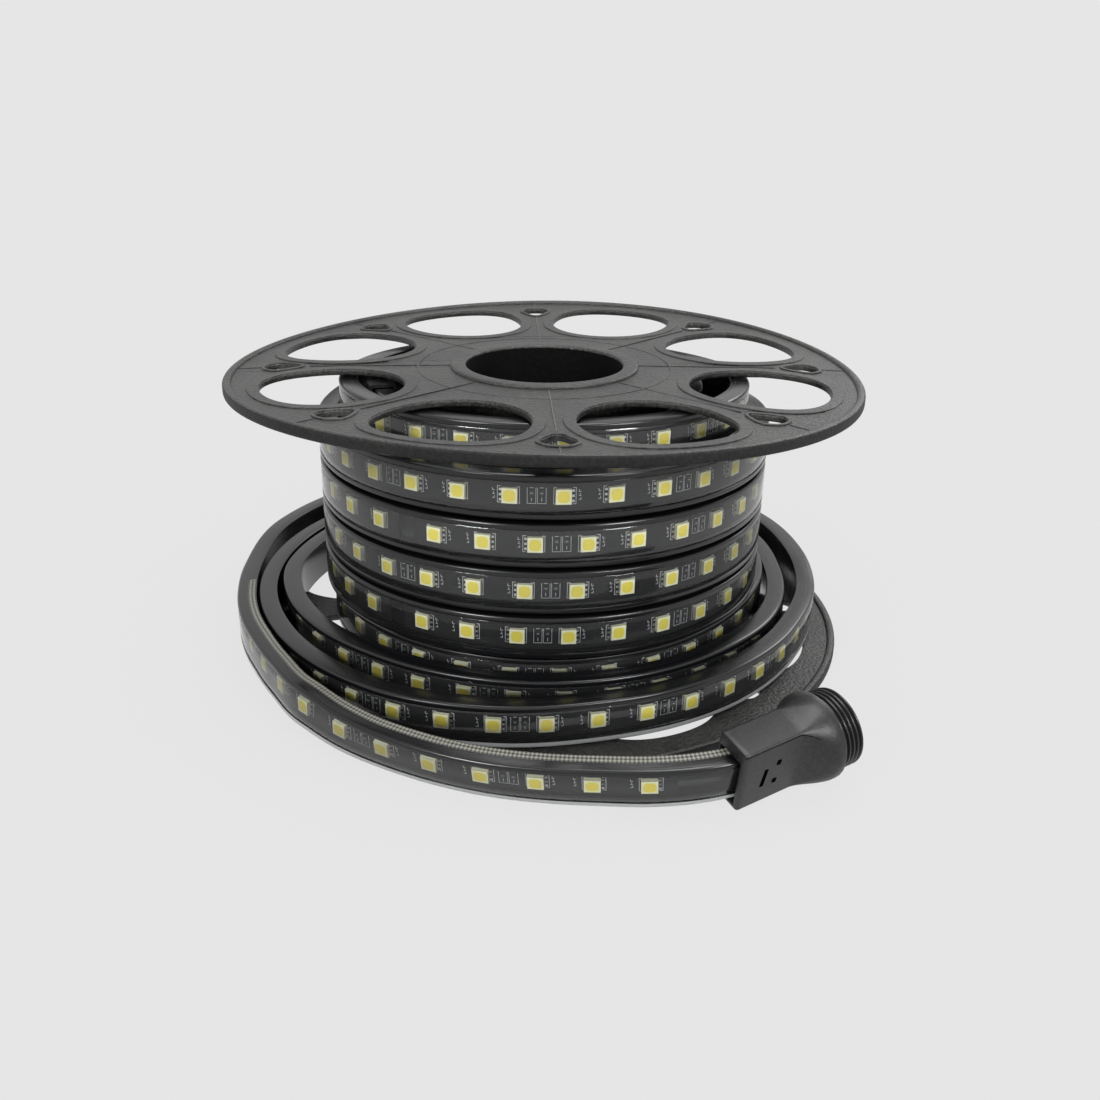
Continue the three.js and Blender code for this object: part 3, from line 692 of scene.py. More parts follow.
def sleeve_piece():
    sleeve = Build("strip_sleeve_look", "sleeve_pvc", SLEEVE, WOVEN, CLEAR_EDGE)
    lengths = spread(0, RUN)
    sleeve.grid(swept(SECTION, lengths), sleeve_finish, True, True, lengths)
    sleeve.finish(["strip_sleeve"], 50)


def clear_face_piece():
    clear = Build("strip_clear_face", "sleeve_pvc", CLEAR)
    lengths = spread(0, RUN)
    clear.grid(swept(face_section(), lengths), 0, False, False, lengths)
    clear.finish((), 80)


sleeve_piece()
clear_face_piece()

# Tapes, chips and printed marks

BOARD_BACK = -(GROOVE_DEPTH - GAP)
BOARD_FRONT = BOARD_BACK + TAPE_THICKNESS
TAPE_BOARD, CHIP_FRAME, CHIP_DISC, PRINT, METAL, PART = range(6)
MARK_HEIGHT = 0.03
LINE = 0.22
FINE_LINE = 0.18
DISC_SIDES = 24
DISC_REACH = 1.95
DISC_ROUNDING = 0.45
DISC_PROUD = 0.02
DOT_REACH = 3.1  # from the chip's middle
DOT_STEP = 1.7
DOT_SIZE = 0.75
DOT_PROUD = 0.2
BRACKET_REACH = 3.0
BRACKET_REACH_AT_DOTS = 3.95
BRACKET_HEIGHT = 5.6
BRACKET_END = 1.0
BRACKET_END_UP = 2.7  # from the chip's middle
BRACKET_END_IN = 0.5
LABEL_REACH = 5.2
LABEL_STEP = 1.3
LABEL_STROKE = 0.85
LABEL_STEM = 0.75
LABEL_STEM_UP = 0.4
LABEL_SHIFT = 0.3  # each stem stands this much further along than the last
CUT_UNIT = 3  # chips between two places where the strip may be cut
RESISTOR_REACH = 1.6

# Each mark round a resistor: along, across, wide, high, finish, proud
RESISTOR_MARKS = [
    (0, 0.9, 1.5, 1.3, PART, 0.35),
    (0, -1.3, LINE, 1.2, PRINT, MARK_HEIGHT),
    (0, 0.9, 0.7, LINE, PRINT, 0.4),
    (-1.35, 0, FINE_LINE, 5.2, PRINT, MARK_HEIGHT),
    (1.35, 0, FINE_LINE, 5.2, PRINT, MARK_HEIGHT),
    (0, -2.6, 2.8, FINE_LINE, PRINT, MARK_HEIGHT),
    (0, 2.6, 1.2, FINE_LINE, PRINT, MARK_HEIGHT),
]


def tape_runs():
    """Where each tape starts along the strip, and how many chips it carries."""
    tapes = []
    reached = LEAD_LENGTH
    usable = RUN - TAIL_LENGTH
    chips = FIRST_TAPE_CHIPS
    while reached + CHIP_PITCH < usable:
        count = min(chips, int((usable - reached) // CHIP_PITCH))
        tapes.append((reached, count))
        reached += count * CHIP_PITCH + TAPE_JOINT
        chips = CHIPS_PER_TAPE
    return tapes


def add_mark(build, length, across, wide, high, finish=PRINT, proud=MARK_HEIGHT):
    """A small raised block on the board; wide runs along the strip."""
    place, out, up, along = axes_at(angle_at(length))
    middle = place + out * (BOARD_FRONT + proud / 2) + up * across
    build.box(middle, (along, up, out), (wide, high, proud), finish)


def add_chip(build, length):
    """A cream frame with its yellow disc, which is nearly square."""
    place, out, up, along = axes_at(angle_at(length))
    body = place + out * (BOARD_FRONT + CHIP_HEIGHT / 2)
    build.box(body, (along, up, out), (CHIP_SIZE, CHIP_SIZE, CHIP_HEIGHT), CHIP_FRAME)
    top = place + out * (BOARD_FRONT + CHIP_HEIGHT + DISC_PROUD)
    disc = []
    for k in range(DISC_SIDES):
        turn = 2 * math.pi * (k + 0.5) / DISC_SIDES
        reach = DISC_REACH / max(abs(math.cos(turn)), abs(math.sin(turn))) ** DISC_ROUNDING
        disc.append(top + along * reach * math.cos(turn) + up * reach * math.sin(turn))
    build.add(disc, [tuple(range(DISC_SIDES))], CHIP_DISC)


def add_brackets(build, length, dots):
    """A printed line on each side of a chip, its ends turned in; dots is the side with the solder."""
    for side in (-1, 1):
        bracket = length + side * (BRACKET_REACH_AT_DOTS if side == dots else BRACKET_REACH)
        add_mark(build, bracket, 0, LINE, BRACKET_HEIGHT)
        for across in (BRACKET_END_UP, -BRACKET_END_UP):
            add_mark(build, bracket - side * BRACKET_END_IN, across, BRACKET_END, LINE)


def add_label(build, length):
    """Three small strokes with their stems, in place of print."""
    for k, across in enumerate((-LABEL_STEP, 0, LABEL_STEP)):
        add_mark(build, length, across, LABEL_STROKE, LINE)
        add_mark(build, length + LABEL_SHIFT * (k - 1), across + LABEL_STEM_UP, LINE, LABEL_STEM)


def add_resistors(build, length):
    for side in (-1, 1):
        for along, across, wide, high, finish, proud in RESISTOR_MARKS:
            add_mark(build, length + side * RESISTOR_REACH + along, across, wide, high, finish, proud)


def tape_piece(number, start, count):
    """One board with its chips. On the first two the solder dots all face the plug."""
    build = Build(f"tape_look_{number}", "tape_board", BOARD, FRAME, PHOSPHOR, INK, SOLDER, RESISTOR)
    half = TAPE_WIDTH / 2
    ribbon = [(BOARD_FRONT, -half), (BOARD_FRONT, half), (BOARD_BACK, half), (BOARD_BACK, -half)]
    build.grid(swept(ribbon, spread(start, start + count * CHIP_PITCH)), TAPE_BOARD, True, True)
    for i in range(count):
        middle = start + (i + 0.5) * CHIP_PITCH
        last_of_unit = i % CUT_UNIT == CUT_UNIT - 1
        dots = -1 if number <= 2 or last_of_unit or i > count - 3 else 1
        add_chip(build, middle)
        for across in (-DOT_STEP, 0, DOT_STEP):
            add_mark(build, middle + dots * DOT_REACH, across, DOT_SIZE, DOT_SIZE, METAL, DOT_PROUD)
        add_brackets(build, middle, dots)
        add_label(build, middle + (-LABEL_REACH if last_of_unit else LABEL_REACH))
        if last_of_unit and i + 1 < count:
            add_resistors(build, middle + CHIP_PITCH / 2)
    build.finish([f"led_tape_{number}"], 40)


for number, (start, count) in enumerate(tape_runs(), 1):
    tape_piece(number, start, count)

# Reel

WEB_STEP = 2 * math.pi / WEB_COUNT
FRONT_WEB = math.radians(WEB_OFFSET - 90)
WEBS = [FRONT_WEB + i * WEB_STEP for i in range(WEB_COUNT)]
RIM_INNER = FLANGE_RADIUS - RIM_WIDTH
WINDOW_INNER = DRUM_RADIUS + WINDOW_START
WINDOW_OUTER = RIM_INNER - WINDOW_MARGIN
WINDOW_WIDEST = 0.6  # share of the window's depth
WINDOW_ENDS = (0.55, 0.62)  # fullness of the inner and outer end, as shares of the half width
WINDOW_SIDES = (0.24, 0.26)  # fullness of the sides towards them, as shares of the depth
KEYHOLE_OUTER = RIM_INNER - KEYHOLE_MARGIN
KEYHOLE_INNER = KEYHOLE_OUTER - KEYHOLE_LENGTH
KEYHOLE_SHOULDER = 0.3  # share of the length, from its outer end
KEYHOLE_FLAT = 0.45  # share of the width that its outer end keeps
CORNER_CUT = 0.2
HALF_HEIGHT = REEL_HEIGHT / 2 - GAP / 2
PLATE_EDGE = 0.35
RIM_ROUNDING = 1.1
COLLAR_ROUNDING = 0.95
WALL_ROUNDING = 0.2
DRUM_WALL = 2.2
PLATE_OVERLAP = (1, 0.6)  # how far the plate reaches under the collar and the rim
BORE_WALL_START = 0.9
DRUM_LINE = (0.3, 0.35)  # the line over the drum, inside and outside the drum's radius
DRUM_LINE_RISE = 0.12
DRUM_LINE_ROUNDING = 0.1
LIP_WIDTH = 4.3
LIP_RISE = 0.4
KEYHOLE_LIP_WIDTH = 1.5
KEYHOLE_LIP_RISE = 0.1  # further than the window's lip
LIP_BASE = 0.4  # how far a lip reaches into the plate
LIP_EDGE = 0.3
LIP_SETBACK = 0.25
LINE_WIDTH = 0.35
LINE_DEPTH = 0.3
LINE_PROUD = 0.02
LINE_MARGIN = 1.4
GLINT_LINE_EVERY = 4
REEL_BODY, REEL_PAINTED_GLINT, REEL_PAINTED_BORE_SHADE, REEL_PAINTED_RIM_SHADE = range(4)


def bezier(points, steps):
    """A cubic curve from its four points."""
    p = np.array(points, float)
    t = np.linspace(0, 1, steps + 1)[:, None]
    return (1 - t) ** 3 * p[0] + 3 * (1 - t) ** 2 * t * p[1] + 3 * (1 - t) * t**2 * p[2] + t**3 * p[3]


def window_outline(steps=14):
    """An egg-shaped window, narrower inwards, between two webs."""
    reach = WINDOW_OUTER - WINDOW_INNER
    widest = WINDOW_INNER + WINDOW_WIDEST * reach
    half = (widest * math.sin(WEB_STEP / 2) - WEB_WIDTH / 2) / math.cos(WEB_STEP / 2)
    inner = [
        (WINDOW_INNER, 0),
        (WINDOW_INNER, WINDOW_ENDS[0] * half),
        (WINDOW_INNER + WINDOW_SIDES[0] * reach, half),
        (widest, half),
    ]
    outer = [
        (widest, half),
        (widest + WINDOW_SIDES[1] * reach, half),
        (WINDOW_OUTER, WINDOW_ENDS[1] * half),
        (WINDOW_OUTER, 0),
    ]
    right = np.vstack([bezier(inner, steps)[:-1], bezier(outer, steps)[:-1]])
    left = np.vstack([[(WINDOW_OUTER, 0)], (right * (1, -1))[:0:-1]])
    return np.vstack([right, left])


def keyhole_outline():
    """A small three-cornered hole that points inwards."""
    half = KEYHOLE_WIDTH / 2
    shoulder = KEYHOLE_OUTER - KEYHOLE_SHOULDER * KEYHOLE_LENGTH
    corners = [
        (KEYHOLE_INNER, 0),
        (shoulder, -half),
        (KEYHOLE_OUTER, -KEYHOLE_FLAT * half),
        (KEYHOLE_OUTER, KEYHOLE_FLAT * half),
        (shoulder, half),
    ]
    return smoothed(np.array(corners, float), 3)


def smoothed(points, rounds):
    """Corners cut again and again, which leaves a smooth outline."""
    for _ in range(rounds):
        after = np.roll(points, -1, axis=0)
        first = (1 - CORNER_CUT) * points + CORNER_CUT * after
        second = CORNER_CUT * points + (1 - CORNER_CUT) * after
        points = np.stack([first, second], 1).reshape(-1, 2)
    return points


def offset(outline, distance):
    """The outline moved outwards all round."""
    before, after = np.roll(outline, 1, axis=0), np.roll(outline, -1, axis=0)
    along = after - before
    along /= np.linalg.norm(along, axis=1)[:, None]
    normal = np.stack([along[:, 1], -along[:, 0]], 1)
    area = np.sum(outline[:, 0] * after[:, 1] - after[:, 0] * outline[:, 1])
    return outline + normal * distance * np.sign(area)


def turned_outline(outline, angle):
    """The outline turned round the reel's axis."""
    c, s = math.cos(angle), math.sin(angle)
    return outline @ np.array([[c, s], [-s, c]])


def ring_outline(radius):
    """A circle round the reel's axis."""
    turn = np.arange(ROUND_SIDES) * 2 * math.pi / ROUND_SIDES
    return np.stack([radius * np.cos(turn), radius * np.sin(turn)], 1)


def plate_mesh(outlines, low, high, edge):
    """A flat plate with rounded edges: the first outline with the others cut out of it."""
    curve = bpy.data.curves.new("plate", "CURVE")
    curve.dimensions = "2D"
    curve.fill_mode = "BOTH"
    curve.extrude = (high - low) / 2 - edge
    curve.bevel_depth = edge
    curve.bevel_resolution = 2
    curve.offset = -edge
    for outline in outlines:
        spline = curve.splines.new("POLY")
        spline.points.add(len(outline) - 1)
        for point, (x, y) in zip(spline.points, outline):
            point.co = (x, y, 0, 1)
        spline.use_cyclic_u = True
    holder = bpy.data.objects.new("plate", curve)
    bpy.context.collection.objects.link(holder)
    mesh = bpy.data.meshes.new_from_object(holder.evaluated_get(bpy.context.evaluated_depsgraph_get()))
    points = np.array([v.co for v in mesh.vertices]) + (0, 0, (high + low) / 2)
    faces = [tuple(p.vertices) for p in mesh.polygons]
    bpy.data.objects.remove(holder)
    bpy.data.curves.remove(curve)
    bpy.data.meshes.remove(mesh)
    return points, faces


def rounded(inner, outer, low, high, radius):
    """A closed oblong profile with round corners, as (radius, height) points."""
    corners = [
        (outer - radius, low + radius, -90),
        (outer - radius, high - radius, 0),
        (inner + radius, high - radius, 90),
        (inner + radius, low + radius, 180),
    ]
    return [point for x, y, start in corners for point in rounded_corner((x, y), radius, start, 4)]


def rim_painted_shade(side, length):
    """Painted shade: darker on the sides of the rim's profile that face outwards."""
    return REEL_PAINTED_RIM_SHADE if 2 <= side <= 6 else REEL_BODY


def add_lip(build, outline, angle, width, low):
    """A raised border round a hole."""
    around = turned_outline(offset(outline, width), angle)
    inner = turned_outline(offset(outline, LIP_SETBACK), angle)
    build.add(*plate_mesh([around, inner], low, PLATE_RECESS + LIP_BASE, LIP_EDGE))


def add_plate(build):
    """The flange's plate with its windows and small holes, and the lips round them."""
    window, keyhole = window_outline(), keyhole_outline()
    holes = [turned_outline(keyhole, a) for a in WEBS]
    holes += [turned_outline(window, a + WEB_STEP / 2) for a in WEBS]
    edge = ring_outline(RIM_INNER + PLATE_OVERLAP[1])
    bore = ring_outline(BORE_RADIUS + PLATE_OVERLAP[0])
    outlines = [edge, *holes, bore]
    build.add(*plate_mesh(outlines, PLATE_RECESS, PLATE_RECESS + PLATE_THICKNESS, PLATE_EDGE))
    low = PLATE_RECESS - LIP_RISE
    for a in WEBS:
        add_lip(build, window, a + WEB_STEP / 2, LIP_WIDTH, low)
        add_lip(build, keyhole, a, KEYHOLE_LIP_WIDTH, low - KEYHOLE_LIP_RISE)


def add_rings(build):
    """The round parts: rim, collar, bore wall, drum wall, and the line over the drum."""
    collar = BORE_RADIUS + COLLAR_WIDTH
    # the rim's outer sides take painted shade
    build.turned(rounded(RIM_INNER, FLANGE_RADIUS, 0, RIM_HEIGHT, RIM_ROUNDING), rim_painted_shade)
    build.turned(rounded(BORE_RADIUS, collar, 0, PLATE_RECESS + 1, COLLAR_ROUNDING))
    bore_wall = rounded(BORE_RADIUS, BORE_RADIUS + BORE_WALL, BORE_WALL_START, HALF_HEIGHT, WALL_ROUNDING)
    # the bore wall takes the near-black finish, painted shade inside the bore
    build.turned(bore_wall, REEL_PAINTED_BORE_SHADE)
    drum_wall = (DRUM_RADIUS - DRUM_WALL, DRUM_RADIUS, PLATE_RECESS + 1, HALF_HEIGHT)
    build.turned(rounded(*drum_wall, WALL_ROUNDING))
    inside, outside = DRUM_RADIUS - DRUM_LINE[0], DRUM_RADIUS + DRUM_LINE[1]
    line = (inside, outside, PLATE_RECESS - DRUM_LINE_RISE, PLATE_RECESS + 0.5)
    build.turned(rounded(*line, DRUM_LINE_ROUNDING))


def add_web_lines(build):
    """A fine line down each web, on both sides of its small hole; every fourth web's line is lighter, a
    painted glint.
    """
    up = np.array([0, 0, 1.0])
    collar = BORE_RADIUS + COLLAR_WIDTH
    inner = (collar - 0.5, KEYHOLE_INNER - LINE_MARGIN)
    outer = (KEYHOLE_OUTER + LINE_MARGIN, RIM_INNER + 0.2)
    for i, a in enumerate(WEBS):
        direction = np.array([math.cos(a), math.sin(a), 0])
        side = np.array([-math.sin(a), math.cos(a), 0])
        finish = REEL_PAINTED_GLINT if i % GLINT_LINE_EVERY == 0 else REEL_BODY
        for start, end in (inner, outer):
            middle = direction * (start + end) / 2 + up * (PLATE_RECESS - LINE_PROUD)
            build.box(middle, (direction, side, up), (end - start, LINE_WIDTH, LINE_DEPTH), finish)


def reel_half(name):
    """One half of the reel, its outer face down at height 0."""
    build = Build(name, "reel_plastic", REEL, REEL_LINE_GLINT, BORE_PAINTED_SHADE, RIM_PAINTED_SHADE)
    add_plate(build)
    add_rings(build)
    add_web_lines(build)
    return build


def turned_over(points):
    """The half put on top, outer face up, with its webs over the lower half's."""
    points[:, 1] *= -1
    points[:, 2] = REEL_HEIGHT - points[:, 2]
    turn = math.radians(2 * WEB_OFFSET)
    spin = np.array([[math.cos(turn), math.sin(turn)], [-math.sin(turn), math.cos(turn)]])
    points[:, :2] = points[:, :2] @ spin
    return points


def sagged(points):
    """The flange droops left and right of the drum, and lifts front and back."""
    distance = np.hypot(points[:, 0], points[:, 1])
    reach = np.maximum(0, distance - DRUM_RADIUS) / (FLANGE_RADIUS - DRUM_RADIUS)
    double = 2 * np.arctan2(points[:, 1], points[:, 0])
    points[:, 2] += reach**2 * (TWIST * np.sin(double) - SAG * np.cos(double))
    return points


def reel_pieces():
    lower = reel_half("reel_lower_look")
    lower.finish(["reel_lower_half"], 38)
    upper = reel_half("reel_upper_look")
    upper.points = [sagged(turned_over(np.vstack(upper.points)))]
    upper.finish(["reel_upper_half"], 38)


reel_pieces()

# Connector

STRAIGHT_STEPS = 6
SWELL_STEPS = 25
END_CORNER = 0.05  # the barrel's corners stay this much smaller than its radius
EDGE_TRIMS = [(0.0, 1.2), (0.18, 0.35), (0.6, 0)]  # place and trim of the rings that round its edge
END_TRIMS = [(0.5, 0), (0.15, 0.15), (0, 0.5)]  # the same at the barrel's end, counted from there
RIDGE = [(-0.34, 0.7), (-0.16, 0.08), (0, 0), (0.16, 0.08), (0.34, 0.7)]  # shares of the pitch, drops
SOCKET_EDGE = 0.2
MOUTH_ROUNDING = 0.5
END_FACE = 23
SEAM_POINT = 14  # of a ring's points, the one on the upper front edge
SEAM_END = 17  # the last rings, which the seam doesn't reach
SEAM_SIZE = (3.2, 0.16, 0.1)
SLANT = (0.16, 0.987)  # the slot leans along the body as it rises
CARVED_DEPTH = 0.14

# The slot and the two dots on the front: along, up, width and height
CARVED_MARKS = [(8.3, -0.9, 1.3, 6.7), (13.2, 3.4, 1.5, 1.9), (12.6, -3.9, 1.5, 1.7)]

END_PLACE, END_OUT, UP, END_ALONG = axes_at(LAST_ANGLE)
ENTRY = math.radians(ENTRY_TURN)
AXIS = END_ALONG * math.cos(ENTRY) + np.cross(UP, END_ALONG) * math.sin(ENTRY)
LEFT = np.cross(UP, AXIS)


def mouth_place():
    """The middle of the body's mouth, set so that the strip's end lies in it."""
    depth = MOUTH_DEPTH - GAP - STRIP_THICKNESS / 2 * math.sin(ENTRY)
    drift = depth * math.tan(ENTRY) / 2
    place = END_PLACE - END_OUT * STRIP_THICKNESS / 2 + UP * MOUTH_DROP
    return place - AXIS * depth + LEFT * (drift - MOUTH_OFFSET)


MOUTH = mouth_place()


def on_connector(x, y, z):
    """A point x along the connector, y to its left and z up."""
    return MOUTH + AXIS * x + LEFT * y + UP * z


def oblong(x, width, height, corner, y=0.0, z=0.0, steps=8):
    """A ring of points across the connector: a rounded oblong with its middle at y and z."""
    ring = []
    for quarter in range(4):
        right = 1 if quarter in (0, 3) else -1
        top = 1 if quarter < 2 else -1
        for i in range(steps + 1):
            turn = math.pi / 2 * (quarter + i / steps)
            across = right * (width / 2 - corner) + corner * math.cos(turn)
            rise = top * (height / 2 - corner) + corner * math.sin(turn)
            ring.append(on_connector(x, y + across, z + rise))
    return ring


def round_ring(x, radius, sides=72):
    """A ring of points round the connector's axis."""
    turns = [2 * math.pi * k / sides for k in range(sides)]
    return [on_connector(x, radius * math.cos(turn), radius * math.sin(turn)) for turn in turns]


def mouth_ring(x, grow=0.0):
    """A ring of the mouth that the strip goes into."""
    width = STRIP_THICKNESS + 2 * MOUTH_CLEARANCE
    height = STRIP_HEIGHT + 2 * MOUTH_CLEARANCE
    return oblong(x, width + grow, height + grow, MOUTH_ROUNDING, MOUTH_OFFSET, -MOUTH_DROP)


def mouth_rings():
    """From the mouth's floor out to its edge and over the body's rounded end."""
    rings = [mouth_ring(MOUTH_DEPTH), mouth_ring(0.4), mouth_ring(0.0, 0.5)]
    for x, trim in EDGE_TRIMS:
        rings.append(oblong(x, BODY_WIDTH - trim, BODY_HEIGHT - trim, BODY_CORNER))
    return rings


def swelling_rings():
    """The square part, and its smooth change into the round barrel."""
    rings = []
    for x in np.linspace(2, BODY_STRAIGHT - 1, STRAIGHT_STEPS):
        rings.append(oblong(x, BODY_WIDTH, BODY_HEIGHT, BODY_CORNER))
    for t in np.linspace(0, 1, SWELL_STEPS):
        swell = t * t * (3 - 2 * t)
        width = BODY_WIDTH + (2 * BARREL_RADIUS - BODY_WIDTH) * swell
        height = BODY_HEIGHT + (2 * BARREL_RADIUS - BODY_HEIGHT) * swell
        corner = BODY_CORNER + (BARREL_RADIUS - END_CORNER - BODY_CORNER) * swell
        rings.append(oblong(BODY_STRAIGHT + (BODY_LENGTH - 2 - BODY_STRAIGHT) * t, width, height, corner))
    return rings


def end_rings():
    """The barrel's rounded end and its flat face."""
    rings = []
    for back, trim in END_TRIMS:
        size = 2 * (BARREL_RADIUS - trim)
        rings.append(oblong(BODY_LENGTH - back, size, size, size / 2 - END_CORNER))
    rings.append(oblong(BODY_LENGTH, END_FACE, END_FACE, END_FACE / 2 - END_CORNER))
    return rings


def add_carved_marks(body):
    """The slot and two dots on the front of the square part, as thin near-black blocks: painted shade where
    they are cut in.
    """
    front = -BODY_WIDTH / 2 - 0.02
    slot_up = AXIS * SLANT[0] + UP * SLANT[1]
    slot_along = AXIS * SLANT[1] - UP * SLANT[0]
    for x, z, wide, high in CARVED_MARKS:
        size = (wide, CARVED_DEPTH, high)
        body.box(on_connector(x, front, z), (slot_along, LEFT, slot_up), size, 1)


def add_seam(body, rings):
    """The moulding seam along the upper front edge, as a thin near-black strip: painted shade in its groove.
    """
    lift = unit(-LEFT + UP)
    for first, second in zip(rings[:-1], rings[1:]):
        ends = [first[SEAM_POINT], second[SEAM_POINT]]
        run = unit(ends[1] - ends[0])
        body.box((ends[0] + ends[1]) / 2, (run, np.cross(lift, run), lift), SEAM_SIZE, 1)


def connector_body_piece():
    body = Build("connector_body_look", "connector_rubber", RUBBER, PAINTED_RECESS_SHADE)
    mouth, swelling, end = mouth_rings(), swelling_rings(), end_rings()
    rings = mouth + swelling + end
    body.grid(rings, 0, True, True)
    add_carved_marks(body)
    add_seam(body, rings[len(mouth) - 1 : -SEAM_END])
    body.finish(["connector_body"], 30)


def thread_profile():
    """From the spigot in the body over the ridges to the socket's floor: along, radius."""
    face = BODY_LENGTH + GAP
    root = THREAD_RADIUS - THREAD_DEPTH
    end = face + THREAD_TURNS * THREAD_PITCH
    floor_at = BODY_LENGTH - SPIGOT_LENGTH + SOCKET_FLOOR
    profile = [(BODY_LENGTH - 1, 0.1), (BODY_LENGTH - 1, SPIGOT_RADIUS), (face, SPIGOT_RADIUS), (face, root)]
    for i in range(THREAD_TURNS):
        crest = face + (i + 0.5) * THREAD_PITCH
        profile += [(crest + share * THREAD_PITCH, THREAD_RADIUS - drop) for share, drop in RIDGE]
        profile.append((crest + 0.5 * THREAD_PITCH, root))
    profile += [(end + 0.5, root - 0.5), (end + 0.5, SOCKET_RADIUS + SOCKET_EDGE)]
    profile.append((end + 0.3, SOCKET_RADIUS))
    return profile + [(floor_at, SOCKET_RADIUS), (floor_at, 0.1)]


def threaded_sleeve_piece():
    thread = Build("threaded_sleeve_look", "connector_nylon", NYLON)
    thread.grid([round_ring(x, radius) for x, radius in thread_profile()])
    thread.finish(["threaded_sleeve"], 40)


def finish_node(node, material):
    """Gives a solid that has no piece of its own its material."""
    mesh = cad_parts[node].data
    mesh.materials.clear()
    mesh.materials.append(material)


connector_body_piece()
threaded_sleeve_piece()
finish_node("contact_carrier", NYLON)
finish_node("contact_pin_left", CONTACT)
finish_node("contact_pin_right", CONTACT)
finish_node("strip_end_cap", RUBBER)

# Studio

BACKDROP = 0.791
FLOOR_GREY = 0.42
FLOOR_REACH = 6
FLOOR_DROP = 0.0002
SHADOW_REACH = (0.12, 0.3)  # from the middle; the floor's own shading fades out between these
SHADOW_SHARE = 0.07  # how much of that shading shows near the middle
ROOM_DEPTH = (-0.7, 0.5)  # front and back of the change in the world's light
ROOM_LIGHT = (0.3, 1.15)


def shown_rays(tree):
    """1 for rays from the camera, from a reflection or through something clear, and 0 for the rest."""
    path = tree.nodes.new("ShaderNodeLightPath")
    seen = path.outputs["Is Camera Ray"]
    for name in ("Is Glossy Ray", "Is Transmission Ray"):
        either = tree.nodes.new("ShaderNodeMath")
        either.operation = "MAXIMUM"
        tree.links.new(seen, either.inputs[0])
        tree.links.new(path.outputs[name], either.inputs[1])
        seen = either.outputs[0]
    return seen


def floor_material():
    """Pale floor: the backdrop's colour where it is seen, with the shadow under the reel."""
    made = Nodes("floor_pale")
    shade = made.add("ShaderNodeBsdfDiffuse", {"Color": (FLOOR_GREY, FLOOR_GREY, FLOOR_GREY, 1)})
    glow = made.add("ShaderNodeEmission", {"Color": (BACKDROP, BACKDROP, BACKDROP, 1), "Strength": 1.0})
    shown = shown_rays(made.tree)
    spot = made.add("ShaderNodeTexCoord")
    away = made.add("ShaderNodeVectorMath", operation="LENGTH")
    made.link(spot.outputs["Object"], away.inputs[0])
    reach = {"From Min": SHADOW_REACH[0], "From Max": SHADOW_REACH[1]}
    fade = made.add("ShaderNodeMapRange", {**reach, "To Min": 1 - SHADOW_SHARE, "To Max": 1.0})
    made.link(away.outputs["Value"], fade.inputs["Value"])
    amount = made.add("ShaderNodeMath", operation="MULTIPLY")
    made.link(shown, amount.inputs[0])
    made.link(fade.outputs[0], amount.inputs[1])
    mix = made.add("ShaderNodeMixShader")
    made.link(amount.outputs[0], mix.inputs[0])
    made.link(shade.outputs[0], mix.inputs[1])
    made.link(glow.outputs[0], mix.inputs[2])
    made.link(mix.outputs[0], made.output.inputs[0])
    return made.material


def add_floor():
    reach = FLOOR_REACH
    corners = [(-reach, -reach), (reach, -reach), (reach, reach), (-reach, reach)]
    mesh = bpy.data.meshes.new("floor")
    mesh.from_pydata([(x, y, -FLOOR_DROP) for x, y in corners], [], [(0, 1, 2, 3)])
    mesh.materials.append(floor_material())
    floor = bpy.data.objects.new("floor", mesh)
    bpy.context.collection.objects.link(floor)


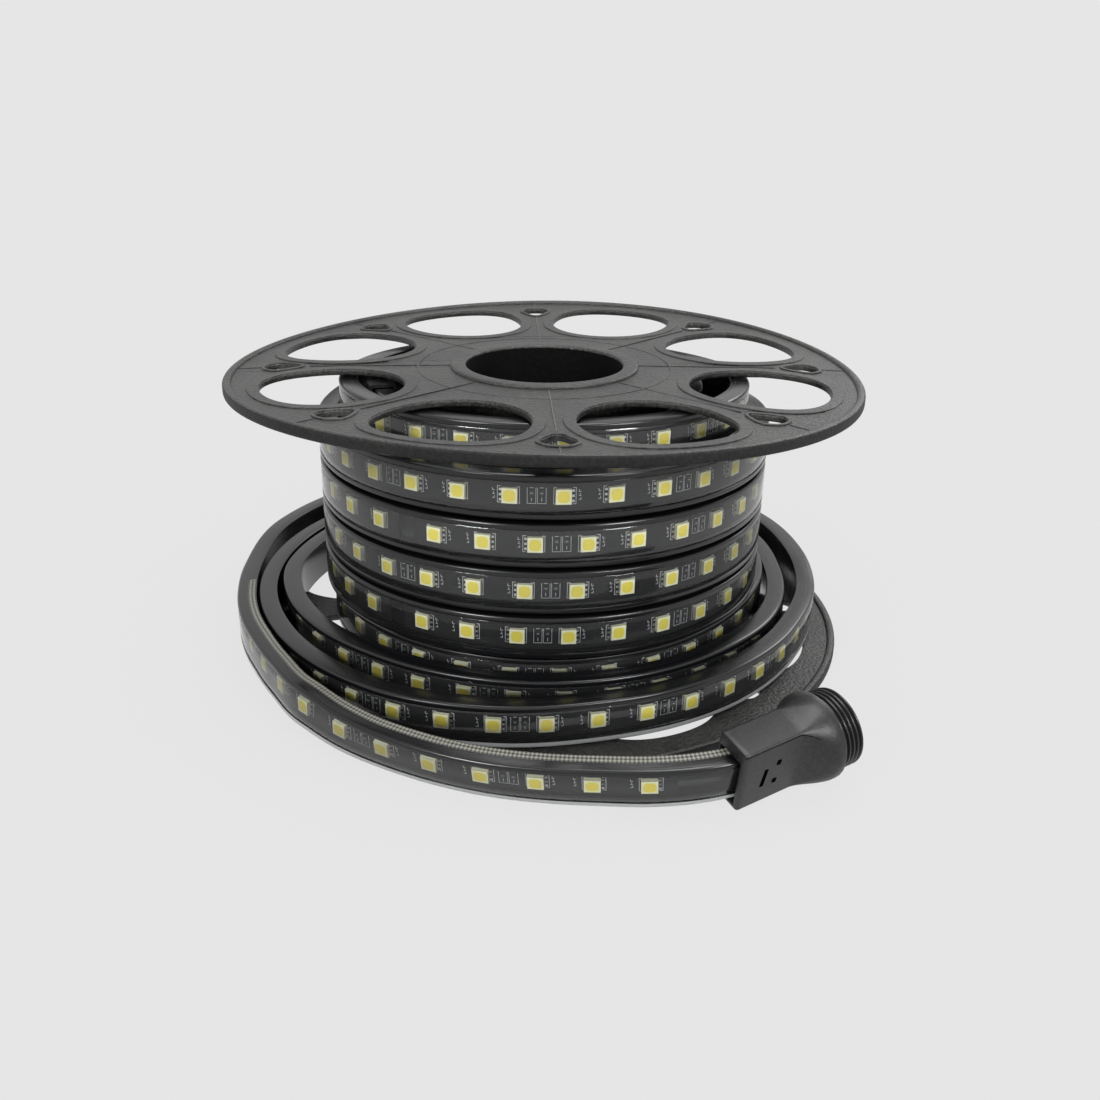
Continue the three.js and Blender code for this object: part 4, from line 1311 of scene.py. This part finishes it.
def add_world():
    """A plain pale backdrop that lights the reel more from behind than from the front."""
    world = bpy.data.worlds.new("studio")
    bpy.context.scene.world = world
    world.use_nodes = True
    tree = world.node_tree
    tree.nodes.clear()
    output = tree.nodes.new("ShaderNodeOutputWorld")
    seen = tree.nodes.new("ShaderNodeBackground")
    seen.inputs[0].default_value = (BACKDROP, BACKDROP, BACKDROP, 1)
    around = tree.nodes.new("ShaderNodeBackground")
    direction = tree.nodes.new("ShaderNodeTexCoord")
    split = tree.nodes.new("ShaderNodeSeparateXYZ")
    tree.links.new(direction.outputs["Generated"], split.inputs[0])
    depth = tree.nodes.new("ShaderNodeMapRange")
    depth.interpolation_type = "SMOOTHSTEP"
    for name, values in (("From", ROOM_DEPTH), ("To", ROOM_LIGHT)):
        depth.inputs[f"{name} Min"].default_value = values[0]
        depth.inputs[f"{name} Max"].default_value = values[1]
    tree.links.new(split.outputs["Y"], depth.inputs["Value"])
    tree.links.new(depth.outputs[0], around.inputs["Strength"])
    mix = tree.nodes.new("ShaderNodeMixShader")
    tree.links.new(shown_rays(tree), mix.inputs[0])
    tree.links.new(around.outputs[0], mix.inputs[1])
    tree.links.new(seen.outputs[0], mix.inputs[2])
    tree.links.new(mix.outputs[0], output.inputs[0])


def softbox(name, place, target, size, power, glint):
    """A rectangular light; without glint it isn't mirrored in anything."""
    data = bpy.data.lights.new(name, "AREA")
    data.shape = "RECTANGLE"
    data.size, data.size_y = size
    data.energy = power
    light = bpy.data.objects.new(name, data)
    bpy.context.collection.objects.link(light)
    light.location = place
    light.rotation_euler = (Vector(target) - Vector(place)).to_track_quat("-Z", "Y").to_euler()
    light.visible_glossy = glint


add_floor()
add_world()
softbox("top_light", (0.1, 0.1, 1.3), (0, 0, 0.05), (0.9, 0.5), 9, True)
softbox("back_light", (0.75, 0.85, 0.8), (0, 0, 0.05), (0.7, 0.4), 3.5, True)
softbox("left_light", (-0.7, -1.0, 0.9), (0, 0, 0.05), (0.35, 0.35), 9, True)
softbox("right_light", (0.8, -0.95, 0.85), (0, 0, 0.05), (0.35, 0.35), 8, True)
softbox("front_light", (0.05, -1.35, 0.4), (0, 0, 0.03), (0.5, 0.3), 9, False)

bpy.context.scene.view_settings.view_transform = "Standard"
